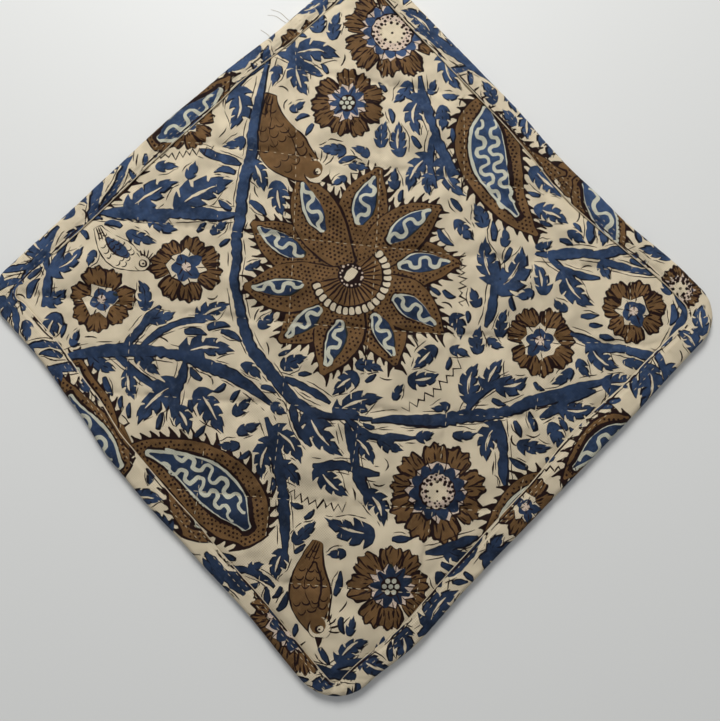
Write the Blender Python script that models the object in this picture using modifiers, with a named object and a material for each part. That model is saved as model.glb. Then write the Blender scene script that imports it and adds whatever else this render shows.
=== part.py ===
"""A quilted pot holder lying on its back: a filled pad sewn through in squares, and the folded
cloth binding round its edge.

The sides run along X and Y, the printed face looks up, and the middle of the outer box is at the
origin, on the surface that the pot holder rests on.
"""

import math

import bmesh
import bpy
from mathutils.geometry import delaunay_2d_cdt

MM = 0.001

# The square, before its sides bulge and it leans into a slight rhombus.
SIDE = 216 * MM
HALF = SIDE / 2
LEAN = 0.026

# Round the edge, anticlockwise from the right-hand side: the radius of the corner that ends each
# side, and how far the side bulges out, as pairs of (share of the way along, bulge in mm).
SIDES = [
    {"name": "right", "corner": 13 * MM,
     "bulge": [(0.07, -1.6), (0.20, 1.5), (0.33, 0.6), (0.75, 1.1), (0.93, 0.6)]},
    {"name": "back", "corner": 13 * MM,
     "bulge": [(0.10, 3.3), (0.28, 0.0), (0.42, -0.9), (0.57, 0.6), (0.94, 0.5)]},
    {"name": "left", "corner": 14 * MM,
     "bulge": [(0.06, -1.8), (0.22, -1.4), (0.38, 1.0), (0.53, 1.9), (0.80, 0.8), (0.94, 0.6)]},
    {"name": "front", "corner": 20 * MM,
     "bulge": [(0.06, -2.3), (0.17, -2.7), (0.28, -1.2), (0.39, 1.5), (0.50, 1.6), (0.61, 0.5),
               (0.76, -0.8), (0.90, -0.3)]},
]
TIGHTEST_CORNER = 4.5 * MM  # of the rings inside the outline
STEPS_A_SIDE = 20
STEPS_A_CORNER = 6

# The binding: a strip folded over the edge, a flange of it on each face.
BINDING_THICK = 1.1 * MM
BINDING_HIGH = 4.6 * MM
FLANGE = 10 * MM
FLANGE_LIFT = 0.3 * MM  # of the flange's free edge on the front
GAP = 0.3 * MM  # between the binding and the pad

# The pad: thin under the binding, full inside it, and drawn in along the seams.
RIM_INSET = BINDING_THICK + 4 * GAP
UNDER_FLANGE = FLANGE + 0.4 * MM
FULL_INSET = UNDER_FLANGE + 3 * MM
RIM_LOW = BINDING_THICK + GAP
RIM_HIGH = BINDING_HIGH - BINDING_THICK - GAP
SEAM_HIGH = 3.9 * MM
CROWN_HIGH = 6.2 * MM
CROWN_REACH = 16 * MM  # how far from the binding or a seam the pad gets to its full height
SEAM_STEP = 5 * MM
TOP_STEP = 5.2 * MM
UNDERSIDE_STEP = 24 * MM

# The quilting seams run at 45 degrees to the sides. Each is a gentle curve in mm,
# middle + lean * t + bow * t * t, where t is the way along it in hundreds of mm.
UP_SEAMS = [  # across the diagonal from corner to corner, running up it
    {"middle": -86.5, "lean": 0.0, "bow": -5.0},
    {"middle": -53.5, "lean": -1.8, "bow": -7.0},
    {"middle": -24.0, "lean": 2.2, "bow": -4.0},
    {"middle": 8.5, "lean": 6.0, "bow": -4.3},
    {"middle": 43.0, "lean": 6.7, "bow": -5.6},
    {"middle": 78.3, "lean": 6.0, "bow": -12.0},
    {"middle": 111.5, "lean": 10.0, "bow": -8.0},
]
LEVEL_SEAMS = [
    {"middle": 97.0, "lean": -14.0, "bow": 5.0},
    {"middle": 60.5, "lean": -11.0, "bow": -1.6},
    {"middle": 26.3, "lean": -7.4, "bow": 0.5},
    {"middle": -7.9, "lean": -4.9, "bow": 1.8},
    {"middle": -40.2, "lean": -2.7, "bow": 0.9},
    {"middle": -76.7, "lean": -3.3, "bow": 3.0},
    {"middle": -108.0, "lean": -5.0, "bow": 3.0},
]
HUNDRED = 100 * MM


def smooth(share):
    """An S-shaped rise from 0 to 1."""
    share = min(max(share, 0.0), 1.0)
    return share * share * (3 - 2 * share)


def bulge_at(side, share):
    """How far a side bulges out, a share of the way along it."""
    table = side["bulge"]
    if share <= table[0][0]:
        return table[0][1] * MM
    for (start, low), (end, high) in zip(table, table[1:]):
        if share <= end:
            return (low + (high - low) * smooth((share - start) / (end - start))) * MM
    return table[-1][1] * MM


def turned(x, y, quarter_turns):
    """A plan point turned anticlockwise by quarter turns."""
    for _ in range(quarter_turns % 4):
        x, y = -y, x
    return x, y


def leaned(x, y):
    """A point of the true square, moved to where the rhombus has it."""
    return x - LEAN * y, y - LEAN * x


def straightened(x, y):
    """The other way: a point of the rhombus, moved back to the true square."""
    scale = 1 - LEAN * LEAN
    return (x + LEAN * y) / scale, (y + LEAN * x) / scale


def corner_radius(number, inset):
    return max(SIDES[number % 4]["corner"] - inset, TIGHTEST_CORNER)


def side_points(number, inset):
    """Points along one side and round the corner that ends it, before the lean."""
    side, following = SIDES[number], SIDES[(number + 1) % 4]
    reach = HALF - inset
    start = -reach + corner_radius(number - 1, inset)
    radius = corner_radius(number, inset)
    end = reach - radius
    points = []
    for step in range(STEPS_A_SIDE):
        along = start + (end - start) * step / STEPS_A_SIDE
        points.append((reach + bulge_at(side, (along + HALF) / SIDE), along))
    last = bulge_at(side, (end + HALF) / SIDE)
    first = bulge_at(following, (HALF - end) / SIDE)
    for step in range(STEPS_A_CORNER):
        share = step / STEPS_A_CORNER
        angle = share * math.pi / 2
        distance = radius + last + (first - last) * share
        points.append((end + distance * math.cos(angle), end + distance * math.sin(angle)))
    return [turned(x, y, number) for x, y in points]


def ring(inset):
    """Plan points all the way round, this far inside the outline."""
    points = [leaned(*p) for number in range(4) for p in side_points(number, inset)]
    return [(x - MIDDLE[0], y - MIDDLE[1]) for x, y in points]


def middle_of_outline():
    """The middle of the outline's box, which moves to the origin."""
    points = [leaned(*p) for number in range(4) for p in side_points(number, 0)]
    across, up = zip(*points)
    return (min(across) + max(across)) / 2, (min(up) + max(up)) / 2


MIDDLE = middle_of_outline()


def depth_inside(x, y):
    """How far a plan point is inside the outline, rounded at the corners."""
    square = straightened(x + MIDDLE[0], y + MIDDLE[1])
    depths = []
    for number, side in enumerate(SIDES):
        out, along = turned(*square, -number)
        depths.append(HALF + bulge_at(side, (along + HALF) / SIDE) - out)
    nearest = sorted(depths)[:2]
    radius = 2 * CROWN_REACH
    if nearest[1] > radius:
        return nearest[0]
    return radius - math.hypot(radius - nearest[0], radius - nearest[1])


def quilt_axes(x, y):
    """A plan point measured across and up the square's diagonals, along which the seams run."""
    x, y = x + MIDDLE[0], y + MIDDLE[1]
    return (x + y) / math.sqrt(2), (y - x) / math.sqrt(2)


def plan_point(across, up):
    """The other way: from across and up the square's diagonals to a plan point."""
    return (across - up) / math.sqrt(2) - MIDDLE[0], (across + up) / math.sqrt(2) - MIDDLE[1]


def seam_place(seam, along):
    """Where a seam is, this far along it."""
    way = along / HUNDRED
    return (seam["middle"] + seam["lean"] * way + seam["bow"] * way * way) * MM


def seam_distance(x, y):
    """How far a plan point is from the nearest seam."""
    across, up = quilt_axes(x, y)
    gaps = [abs(across - seam_place(seam, up)) for seam in UP_SEAMS]
    gaps += [abs(up - seam_place(seam, across)) for seam in LEVEL_SEAMS]
    return min(gaps)


def dome(distance):
    """The share of its full height that the filling reaches, this far from what holds it down."""
    return math.sin(min(distance / CROWN_REACH, 1.0) * math.pi / 2) ** 0.7


def top_height(x, y):
    """The pad's upper face: flat under the flange, then up to the crown between the seams."""
    depth = depth_inside(x, y)
    clear = depth - UNDER_FLANGE
    if clear <= GAP:
        return RIM_HIGH
    crown = (CROWN_HIGH - SEAM_HIGH) * dome(seam_distance(x, y)) * dome(clear)
    return RIM_HIGH + (SEAM_HIGH - RIM_HIGH + crown) * smooth(clear / (FULL_INSET - UNDER_FLANGE))


def underside_height(x, y):
    """The pad's lower face: over the flange at the edge, and flat on the surface inside it."""
    clear = depth_inside(x, y) - UNDER_FLANGE
    return RIM_LOW * (1 - smooth((clear - GAP) / (FULL_INSET - UNDER_FLANGE - 2 * GAP)))


def seam_lines():
    """Each seam's plan points, as far as the pad is full."""
    lines = []
    count = round(SIDE / SEAM_STEP)
    for seams, swap in ((UP_SEAMS, False), (LEVEL_SEAMS, True)):
        for seam in seams:
            line = []
            for step in range(-count, count + 1):
                along = step * SEAM_STEP
                place = seam_place(seam, along)
                point = plan_point(along, place) if swap else plan_point(place, along)
                if depth_inside(*point) > FULL_INSET + SEAM_STEP / 2:
                    line.append(point)
            lines.append(line)
    return lines


def fill_points(spacing, clearance):
    """Points of a triangular grid inside the pad, clear of its seams."""
    row_step = spacing * math.sqrt(3) / 2
    rows = round(HALF / row_step) + 1
    columns = round(HALF / spacing) + 1
    points = []
    for row in range(-rows, rows + 1):
        for column in range(-columns, columns + 1):
            x = (column + (row % 2) / 2) * spacing
            y = row * row_step
            if depth_inside(x, y) > FULL_INSET + spacing / 2 and seam_distance(x, y) >= clearance:
                points.append((x, y))
    return points


def face_of_pad(rings, lines, points):
    """One face of the pad in plan: its corner points and its triangles."""
    corners, edges = [], []
    for closed, row in [(True, r) for r in rings] + [(False, line) for line in lines]:
        first = len(corners)
        corners.extend(row)
        links = [(first + i, first + i + 1) for i in range(len(row) - 1)]
        edges.extend(links + [(first + len(row) - 1, first)] if closed else links)
    outline = list(range(len(rings[0])))
    laid = delaunay_2d_cdt(corners + points, edges, [outline], 1, 1e-7, True)
    triangles = [triangle for triangle, inside in zip(laid[2], laid[5]) if inside]
    return laid[0], triangles


def add_face(shape, corners, triangles, height, facing_up):
    """Lifts one face of the pad to its height, and returns its mesh points."""
    points = [shape.verts.new((x, y, height(x, y))) for x, y in corners]
    for triangle in triangles:
        order = triangle if facing_up else list(reversed(triangle))
        shape.faces.new([points[i] for i in order])
    return points


def finish_object(name, mesh, colour):
    """A named object with a plain cloth material, in the pot holder's collection."""
    item = bpy.data.objects.new(name, mesh)
    material = bpy.data.materials.new(name + "_cloth")
    material.use_nodes = True
    shader = material.node_tree.nodes["Principled BSDF"]
    shader.inputs["Base Color"].default_value = (*colour, 1)
    shader.inputs["Roughness"].default_value = 0.9
    shader.inputs["Metallic"].default_value = 0.0
    item.data.materials.append(material)
    collection.objects.link(item)
    return item


def make_pad():
    """The filled pad, one closed solid from its upper face, its underside and its rim."""
    rings = [ring(RIM_INSET), ring(UNDER_FLANGE), ring(FULL_INSET)]
    shape = bmesh.new()
    top = face_of_pad(rings, seam_lines(), fill_points(TOP_STEP, TOP_STEP / 2))
    underside = face_of_pad(rings, [], fill_points(UNDERSIDE_STEP, 0))
    high = add_face(shape, *top, top_height, True)
    low = add_face(shape, *underside, underside_height, False)
    outer = ring(RIM_INSET - 2 * GAP)
    middle = [shape.verts.new((x, y, (RIM_LOW + RIM_HIGH) / 2)) for x, y in outer]
    for i in range(len(outer)):
        after = (i + 1) % len(outer)
        shape.faces.new([low[i], low[after], middle[after], middle[i]])
        shape.faces.new([middle[i], middle[after], high[after], high[i]])
    bmesh.ops.triangulate(shape, faces=[f for f in shape.faces if len(f.verts) > 3])
    mesh = bpy.data.meshes.new("quilted_pad")
    shape.to_mesh(mesh)
    shape.free()
    return finish_object("quilted_pad", mesh, (0.42, 0.38, 0.30))


def binding_section():
    """The middle of the folded strip, as (inset, height) from its front edge round to its back."""
    half = BINDING_THICK / 2
    bend = BINDING_HIGH / 2 - half
    centre = half + bend
    section = [(FLANGE, BINDING_HIGH - half + FLANGE_LIFT), (0.6 * FLANGE, BINDING_HIGH - half)]
    for degrees in (90, 45, 0, -45, -90):
        angle = math.radians(degrees)
        section.append((centre - bend * math.cos(angle), BINDING_HIGH / 2 + bend * math.sin(angle)))
    section += [(0.6 * FLANGE, half), (FLANGE, half)]
    return section


def make_binding():
    """The binding: its section run round the edge, and given the thickness of the folded strip."""
    section = binding_section()
    rings = [ring(inset) for inset, _ in section]
    shape = bmesh.new()
    rows = [[shape.verts.new((x, y, height)) for x, y in points]
            for points, (_, height) in zip(rings, section)]
    for row, lower in zip(rows, rows[1:]):
        for i in range(len(row)):
            after = (i + 1) % len(row)
            shape.faces.new([row[i], lower[i], lower[after], row[after]])
    mesh = bpy.data.meshes.new("edge_binding")
    shape.to_mesh(mesh)
    shape.free()
    strip = finish_object("edge_binding", mesh, (0.12, 0.16, 0.24))
    thickness = strip.modifiers.new("strip thickness", "SOLIDIFY")
    thickness.thickness = BINDING_THICK
    thickness.offset = 0
    thickness.use_even_offset = True
    return strip


for leftover in list(bpy.data.objects):
    bpy.data.objects.remove(leftover)
collection = bpy.data.collections.new("quilted_pot_holder")
bpy.context.scene.collection.children.link(collection)
make_pad()
make_binding()
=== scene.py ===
"""A quilted pot holder of block-printed cotton, lying on its back on a pale table.

Plan lengths are in mm, and become metres where the meshes are made. The face's print is drawn
across and up the square's diagonals, as it lies in the camera's view.
"""

import math

import bpy
import numpy as np
from mathutils import Matrix, Vector
from mathutils.geometry import delaunay_2d_cdt


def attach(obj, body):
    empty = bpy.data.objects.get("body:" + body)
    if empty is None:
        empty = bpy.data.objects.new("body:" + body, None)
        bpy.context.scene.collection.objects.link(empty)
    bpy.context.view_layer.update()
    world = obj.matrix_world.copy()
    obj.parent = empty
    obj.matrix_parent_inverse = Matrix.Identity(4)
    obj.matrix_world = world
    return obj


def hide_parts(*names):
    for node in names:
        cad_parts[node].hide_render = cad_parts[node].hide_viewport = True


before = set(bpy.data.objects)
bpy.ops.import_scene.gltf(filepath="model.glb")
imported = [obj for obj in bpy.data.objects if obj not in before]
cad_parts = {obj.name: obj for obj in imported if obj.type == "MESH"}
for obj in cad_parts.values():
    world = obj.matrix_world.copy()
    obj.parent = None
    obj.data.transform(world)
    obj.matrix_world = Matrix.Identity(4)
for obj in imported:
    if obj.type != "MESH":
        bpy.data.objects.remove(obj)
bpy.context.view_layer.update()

MM = 0.001
ROOT_HALF = math.sqrt(0.5)

# ---- the outline, as in the CAD model ----

HALF = 108.0
LEAN = 0.026
# For each side, anticlockwise from the right-hand one: the radius of the corner that ends it, how
# far it bulges out, and how wide the binding's front flange is, against the share of its way.
CORNERS = [13, 13, 14, 20]
BULGES = [
    [(0.07, -1.6), (0.20, 1.5), (0.33, 0.6), (0.75, 1.1), (0.93, 0.6)],
    [(0.10, 3.3), (0.28, 0.0), (0.42, -0.9), (0.57, 0.6), (0.94, 0.5)],
    [(0.06, -1.8), (0.22, -1.4), (0.38, 1.0), (0.53, 1.9), (0.80, 0.8), (0.94, 0.6)],
    [(0.06, -2.3), (0.17, -2.7), (0.28, -1.2), (0.39, 1.5), (0.50, 1.6), (0.61, 0.5),
     (0.76, -0.8), (0.90, -0.3)],
]
FLANGES = [
    [(0, 8), (0.3, 9), (0.5, 10), (0.66, 12.7), (0.8, 11), (1, 10)],
    [(0, 10), (0.22, 9.9), (0.34, 11.3), (0.48, 9.3), (0.75, 9), (1, 8.5)],
    [(0, 8.5), (0.3, 8), (0.5, 9.5), (0.75, 9.5), (1, 9.5)],
    [(0, 10), (0.25, 9.5), (0.5, 9.5), (0.75, 8), (1, 8)],
]
INNER_CORNER = 4.5
BACK_FLANGE = 10.0

# The quilting seams: where each runs, as middle + lean * t + bow * t * t, t in hundreds of mm.
UP_SEAMS = [(-86.5, 0.0, -5.0), (-53.5, -1.8, -7.0), (-24.0, 2.2, -4.0), (8.5, 6.0, -4.3),
            (43.0, 6.7, -5.6), (78.3, 6.0, -12.0), (111.5, 10.0, -8.0)]
LEVEL_SEAMS = [(-108.0, -5.0, 3.0), (-76.7, -3.3, 3.0), (-40.2, -2.7, 0.9), (-7.9, -4.9, 1.8),
               (26.3, -7.4, 0.5), (60.5, -11.0, -1.6), (97.0, -14.0, 5.0)]

# Heights.
BINDING_HIGH = 4.5
BINDING_THICK = 0.85
FOLD_DEPTH = 2.6  # how far in from the outline the fold's curve reaches
PAD_RIM_INSET = 3.4
PAD_RIM_HIGH = 3.1
PAD_RIM_LOW = 1.25
SEAM_HIGH = 3.9
CROWN = 2.2


def smooth(share):
    share = np.clip(share, 0.0, 1.0)
    return share * share * (3 - 2 * share)


def eased(table, share):
    """A value from (share, value) pairs, with soft steps between them."""
    shares, values = np.array(table).T
    share = np.clip(share, shares[0], shares[-1])
    i = np.clip(np.searchsorted(shares, share, side="right") - 1, 0, len(shares) - 2)
    way = smooth((share - shares[i]) / (shares[i + 1] - shares[i]))
    return values[i] + (values[i + 1] - values[i]) * way


def turned(x, y, quarter_turns):
    for _ in range(quarter_turns % 4):
        x, y = -y, x
    return x, y


def edge_ring(inset, steps, corner_steps):
    """Points all the way round. The inset is a number, or "flange" for the binding's own."""
    rows = []
    flange = inset == "flange"
    turn = np.linspace(0, 1, corner_steps, endpoint=False)
    for number in range(4):
        at_start, at_end = [eased(FLANGES[number], i) if flange else inset for i in (0, 1)]
        radius = [INNER_CORNER if flange else max(CORNERS[n] - inset, INNER_CORNER)
                  for n in (number - 1, number)]
        start = -HALF + at_start + radius[0]
        end = HALF - at_end - radius[1]
        along = start + (end - start) * np.linspace(0, 1, steps, endpoint=False)
        way = (along + HALF) / (2 * HALF)
        width = eased(FLANGES[number], way) if flange else inset
        out = HALF - width + eased(BULGES[number], way)
        first = eased(BULGES[number], (end + HALF) / (2 * HALF))
        last = eased(BULGES[(number + 1) % 4], (HALF - end) / (2 * HALF))
        distance = radius[1] + first + (last - first) * turn
        x = np.concatenate([out, end + distance * np.cos(turn * math.pi / 2)])
        y = np.concatenate([along, end + distance * np.sin(turn * math.pi / 2)])
        rows.append(np.stack(turned(x, y, number), 1))
    x, y = np.concatenate(rows).T
    return np.stack([x - LEAN * y, y - LEAN * x], 1)


rough_outline = edge_ring(0.0, 20, 6)
MIDDLE = (rough_outline.min(0) + rough_outline.max(0)) / 2  # what the CAD has at its origin


def depths(x, y, flange=False):
    """How far a drawn point is inside the outline, or inside the binding's free edge."""
    scale = 1 - LEAN * LEAN
    x, y = (x + LEAN * y) / scale, (y + LEAN * x) / scale
    found = []
    for number in range(4):
        out, along = turned(x, y, -number)
        way = (along + HALF) / (2 * HALF)
        depth = HALF + eased(BULGES[number], way) - out
        if flange:
            depth = depth - eased(FLANGES[number], way)
        found.append(depth)
    found = np.sort(np.stack(found), 0)
    radius = INNER_CORNER if flange else CORNERS[0]
    round_corner = radius - np.hypot(radius - found[0], radius - found[1])
    return np.where(found[1] < radius, round_corner, found[0])


def diagonal(x, y):
    """A drawn point measured across and up the diagonals."""
    return (x + y) * ROOT_HALF, (y - x) * ROOT_HALF


def squared(across, up):
    """The other way."""
    return (across - up) * ROOT_HALF, (across + up) * ROOT_HALF


def seam_at(seam, along):
    middle, lean, bow = seam
    way = along / 100
    return middle + lean * way + bow * way * way


# ---- the print: its inks and layers, and how unevenly a hand-cut block prints ----

CREAM, BLUE, BROWN, MAROON, OLIVE, PALE, PINK, NAVY = range(8)
BROWN_EDGES, BROWNS, ON_BROWN, HALOS, BLUE_EDGES, BLUES, RESERVES, LINES = range(8)
PRINT = []  # (layer, ink, outline), the outline's points in mm across and up the diagonals
SLACK = 0.05  # a point this near the line between its neighbours is left out of an outline
LONGEST_STEP = 3.2  # unless they are farther apart than this
DOT_RADIUS = 0.52
THORN_LONG, THORN_LEAN = 4.0, 0.6


def noise(place, seed):
    """Smooth noise from -1 to 1 along a line."""
    step = math.floor(place)
    share = place - step
    share = share * share * (3 - 2 * share)
    low = math.sin(step * 127.1 + seed * 311.7) * 43758.5453
    high = math.sin((step + 1) * 127.1 + seed * 311.7) * 43758.5453
    low, high = low - math.floor(low), high - math.floor(high)
    return 2 * (low + (high - low) * share) - 1


def wander(x, y, seed):
    """Where a hand-cut block puts a point that was drawn at x, y."""
    slow, fast = 0.16, 0.62
    return (x + 0.30 * noise(x * slow + 0.7 * math.sin(y * slow), seed)
            + 0.17 * noise((x + y) * fast, seed + 3),
            y + 0.30 * noise(y * slow + 0.7 * math.sin(x * slow), seed + 1)
            + 0.17 * noise((y - x) * fast, seed + 4))


def thinned(outline):
    """The outline without the points that lie almost on the line between their neighbours."""
    for _ in range(2):
        kept = [outline[0]]
        for i in range(1, len(outline)):
            (ax, ay), (x, y) = outline[i - 1], outline[i]
            bx, by = outline[(i + 1) % len(outline)]
            wide = math.dist((ax, ay), (bx, by)) or 1.0
            off = abs((bx - ax) * (y - ay) - (by - ay) * (x - ax)) / wide
            if off > SLACK or kept[-1] != outline[i - 1] or wide > LONGEST_STEP:
                kept.append(outline[i])
        outline = kept
    return outline


def paint(layer, ink, outline, slip=(0, 0)):
    """Print an outline, as uneven as a hand-cut block prints it."""
    seed = 11 + 7 * ink
    PRINT.append((layer, ink, thinned([wander(x + slip[0], y + slip[1], seed) for x, y in outline])))


# ---- lines and bands ----


def spline(p, q, r, s, t):
    """A value the share t of the way from q to r, on a smooth line that comes from p and goes to s."""
    return 0.5 * (2 * q + (r - p) * t + (2 * p - 5 * q + 4 * r - s) * t * t
                  + (3 * q - p - 3 * r + s) * t ** 3)


def smooth_line(points, step):
    """Points every step or so along a smooth line through the given ones."""
    (ax, ay), (bx, by), (cx, cy), (dx, dy) = *points[:2], *points[-2:]
    points = [(2 * ax - bx, 2 * ay - by), *points, (2 * dx - cx, 2 * dy - cy)]
    found = []
    for p, q, r, s in zip(points, points[1:], points[2:], points[3:]):
        count = max(1, round(math.dist(q, r) / step))
        found += [tuple(spline(*row, i / count) for row in zip(p, q, r, s)) for i in range(count)]
    return found + [points[-2]]


def lengths(points):
    """How far along a line each of its points is."""
    far = [0.0]
    for p, q in zip(points, points[1:]):
        far.append(far[-1] + math.dist(p, q))
    return far


def table_at(table, share):
    """A value from an evenly spaced table, on a smooth line through its numbers."""
    if isinstance(table, (int, float)):
        return table
    last = len(table) - 1
    i = min(int(share * last), last - 1)
    q, r = table[i], table[i + 1]
    value = spline(table[max(i - 1, 0)], q, r, table[min(i + 2, last)], share * last - i)
    return max(value, 0.3 * min(q, r))


def normals(points):
    """The direction to the left of a line at each of its points."""
    found = []
    for p, q in zip(points[:1] + points, points[1:] + points[-1:]):
        far = math.dist(p, q) or 1.0
        found.append((-(q[1] - p[1]) / far, (q[0] - p[0]) / far))
    return found


def ribbon(points, widths, extra=0.0, lobes=0.0, step=1.3):
    """The outline of a band along a smooth line, with its widths from start to end.

    lobes is how far rounded lobes, which lean along the line, stand out from its edges.
    """
    run = smooth_line(points, 0.8 if lobes else step)
    far = lengths(run)
    sides = {1: [], -1: []}
    for (x, y), (nx, ny), way in zip(run, normals(run), far):
        half = table_at(widths, way / far[-1]) / 2
        for side in (1, -1):
            reach, along = half + extra, 0.0
            if lobes and far[-1] > 6:
                turn = way / (4.4 + 0.8 * side) + 0.4 * side + 0.25 * noise(way * 0.45 + x, 42)
                rise = abs(math.sin(math.pi * turn)) ** 0.55 - 0.62
                inside = min(1, 3 * way / far[-1], 3 * (far[-1] - way) / far[-1])
                rise *= inside * lobes * min(1.6, half / 2.2) * (1 + 0.35 * noise(x - y, 43))
                reach += rise
                along = 0.8 * rise
            sides[side].append((x + side * nx * reach + ny * along, y + side * ny * reach - nx * along))
    if extra:
        for end, inner in ((0, 1), (-1, -2)):
            shift = extra / (math.dist(run[end], run[inner]) or 1.0)
            for side in (1, -1):
                x, y = sides[side][end]
                sides[side][end] = (x + (run[end][0] - run[inner][0]) * shift,
                                    y + (run[end][1] - run[inner][1]) * shift)
    outline = sides[-1] + sides[1][::-1]
    # Each corner is cut off a quarter of the way along its two edges.
    return [(a + (c - a) * t, b + (d - b) * t)
            for (a, b), (c, d) in zip(outline, outline[1:] + outline[:1]) for t in (0.25, 0.75)]


def polar(x, y, radius, angle):
    return x + radius * math.cos(angle), y + radius * math.sin(angle)


def disc(x, y, radius, count=0):
    count = count or max(6, round(radius * 7))
    return [polar(x, y, radius, math.tau * i / count) for i in range(count)]


def bent(x, y, heading, long, bend, steps=8):
    """Points of a line that sets out from x, y along its heading and bends evenly on its way."""
    points = [(x, y)]
    for i in range(steps):
        points.append(polar(*points[-1], long / steps, heading + bend * (i + 0.5) / steps))
    return points


def part(points, start, end):
    """The stretch of an evenly spaced line between two shares of its length."""
    last = len(points) - 1
    return points[round(start * last):round(end * last) + 1]


def beside(points, side, reach):
    """The line moved to its left (side 1) or right (-1), by a reach or by a table of them."""
    far = lengths(points)
    found = []
    for (x, y), (nx, ny), way in zip(points, normals(points), far):
        out = table_at(reach, way / far[-1])
        found.append((x + side * nx * out, y + side * ny * out))
    return found


def drawn(points, width, layer=LINES, ink=MAROON):
    """A dark line that thins towards its ends, through points that are already close."""
    if len(points) < 2:
        return
    left, right = [], []
    count = len(points) - 1
    for i, ((x, y), (nx, ny)) in enumerate(zip(points, normals(points))):
        half = width / 2 * (0.45 + 0.55 * min(1, 4 * i / count, 4 * (count - i) / count))
        half *= 1 + 0.25 * noise(x + 0.8 * y, 5)
        left.append((x + nx * half, y + ny * half))
        right.append((x - nx * half, y - ny * half))
    paint(layer, ink, right + left[::-1])


def stroke(start, end, width, layer=LINES):
    """A short dark line."""
    drawn(smooth_line([start, end], 0.8), width, layer)


def broken(points, width, run=5, gap=2, layer=LINES, ink=MAROON):
    """A dark line with gaps where the block didn't print."""
    start = 0
    piece = 0
    while start < len(points) - 1:
        piece += 1
        size = max(2, round(run * (1 + 0.7 * noise(points[start][0] * 1.7 + piece, 9))))
        drawn(points[start:start + size], width, layer, ink)
        start += size + max(0, round(gap * (1 + noise(points[start][1] * 1.3 + piece, 8)))) - 1


def meander(points, width, reach, turns):
    """A pale stroke left bare in the blue, which winds to and fro along a line."""
    run = smooth_line(points, 0.6)
    last = len(run) - 1
    wound = []
    for i, ((x, y), (nx, ny)) in enumerate(zip(run, normals(run))):
        phase = math.pi * turns * i / last
        swing = reach * math.sin(phase) * math.sin(math.pi * (0.12 + 0.8 * i / last))
        slide = -0.30 * reach * math.sin(2 * phase)
        wound.append((x + nx * swing + ny * slide, y + ny * swing - nx * slide))
    widths = [width * k for k in (0.7, 1.1, 0.85, 1.1, 0.8)]
    paint(RESERVES, PALE, ribbon(wound[::2], widths, step=1.0))


def stations(run, start, gap_after):
    """Places along a line of close points: each one's number, way and point."""
    far = lengths(run)
    way = start
    while way < far[-1]:
        i = min(range(len(far)), key=lambda k: abs(far[k] - way))
        yield i, way, run[i]
        way += gap_after(way, run[i])


def dots(points, widths, pitch, margin):
    """Rows of small dark dots along a band."""
    run = smooth_line(points, pitch * 0.25)
    long = lengths(run)[-1]
    sides = normals(run)
    spots = stations(run, pitch / 2, lambda way, spot: pitch * 0.8)
    for column, (i, way, (x, y)) in enumerate(spots):
        half = table_at(widths, way / long) / 2 - margin
        rows = int(half / (pitch * 0.86)) + 1
        for row in range(-rows, rows + 1):
            aside = (row + (0.5 if column % 2 else 0)) * pitch * 0.92
            if abs(aside) <= half:
                u, v = x + sides[i][0] * aside, y + sides[i][1] * aside
                u, v = u + 0.2 * noise(v * 1.9, 61), v + 0.2 * noise(u * 1.7, 62)
                size = DOT_RADIUS * (1 + 0.25 * noise(u * 3 + v, 6))
                PRINT.append((BROWNS, MAROON, disc(u, v, size, 5)))


def thorns(points, widths, pitch):
    """Dark curved thorns from both sides of a band, leaning along it."""
    middle = smooth_line(points, 0.6)
    inner = [max(0.1, wide / 2 - 0.4) for wide in widths]
    base = 0.46 * pitch
    for side in (1, -1):
        run = smooth_line(beside(middle, side, inner)[::3], 0.5)
        sides = normals(run)
        for i, way, (x, y) in stations(run, pitch * 0.4, lambda way, spot: pitch * (
                1 + 0.25 * noise(way + spot[1], 12))):
            nx, ny = sides[i]
            high = THORN_LONG * (1 + 0.45 * noise(way * 1.3 + x, 7))

            def at(out, along):
                return x + side * nx * out + ny * along, y + side * ny * out - nx * along

            paint(BROWN_EDGES, MAROON, [
                at(-0.8, -base), at(-0.8, base * 1.3),
                at(high * 0.2, base * 0.95 + THORN_LEAN * 0.1 * high),
                at(high * 0.55, base * 0.62 + THORN_LEAN * 0.35 * high),
                at(high * 0.9, base * 0.35 + THORN_LEAN * 0.9 * high), at(high, THORN_LEAN * high),
                at(high * 0.72, THORN_LEAN * 0.5 * high - base * 0.05),
                at(high * 0.42, THORN_LEAN * 0.1 * high - base * 0.3), at(high * 0.14, -base * 0.75)])


def brown_band(points, widths, dot_pitch, dot_margin, thorn_pitch):
    """A brown band with thorns, a dark edge and rows of dots."""
    thorns(points, widths, thorn_pitch)
    paint(BROWNS, MAROON, ribbon(points, widths, 0.7), (0.15, -0.1))
    paint(BROWNS, BROWN, ribbon(points, widths))
    dots(points, widths, dot_pitch, dot_margin)


def blue_drop(points, widths):
    """A blue drop set in brown, with a pale edge on one side, dark green on the other."""
    for ink, extra, slip in ((MAROON, 0.95, (-0.25, 0.1)), (BROWN, 0.55, (0.55, -0.1)),
                             (PALE, 0.22, (-0.5, 0.1))):
        paint(HALOS, ink, ribbon(points, widths, extra), slip)
    paint(BLUES, BLUE, ribbon(points, widths), (0.2, 0))


# ---- room on the cloth: what is drawn keeps the leaves out, and each leaf keeps out the next ----

CLOTH_REACH = 163.0  # how far out the print goes, across and up added together
CELL = 12.0
WIDEST_LEAF = 7.0
TAKEN = {}  # the discs that something is printed on, by the square cell that they may matter to
TWIGS = []  # where twigs may branch off a stem: x, y, heading, length, bend
BUDS = []  # where leaves may grow once everything else has its place: the same, with a width


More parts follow.
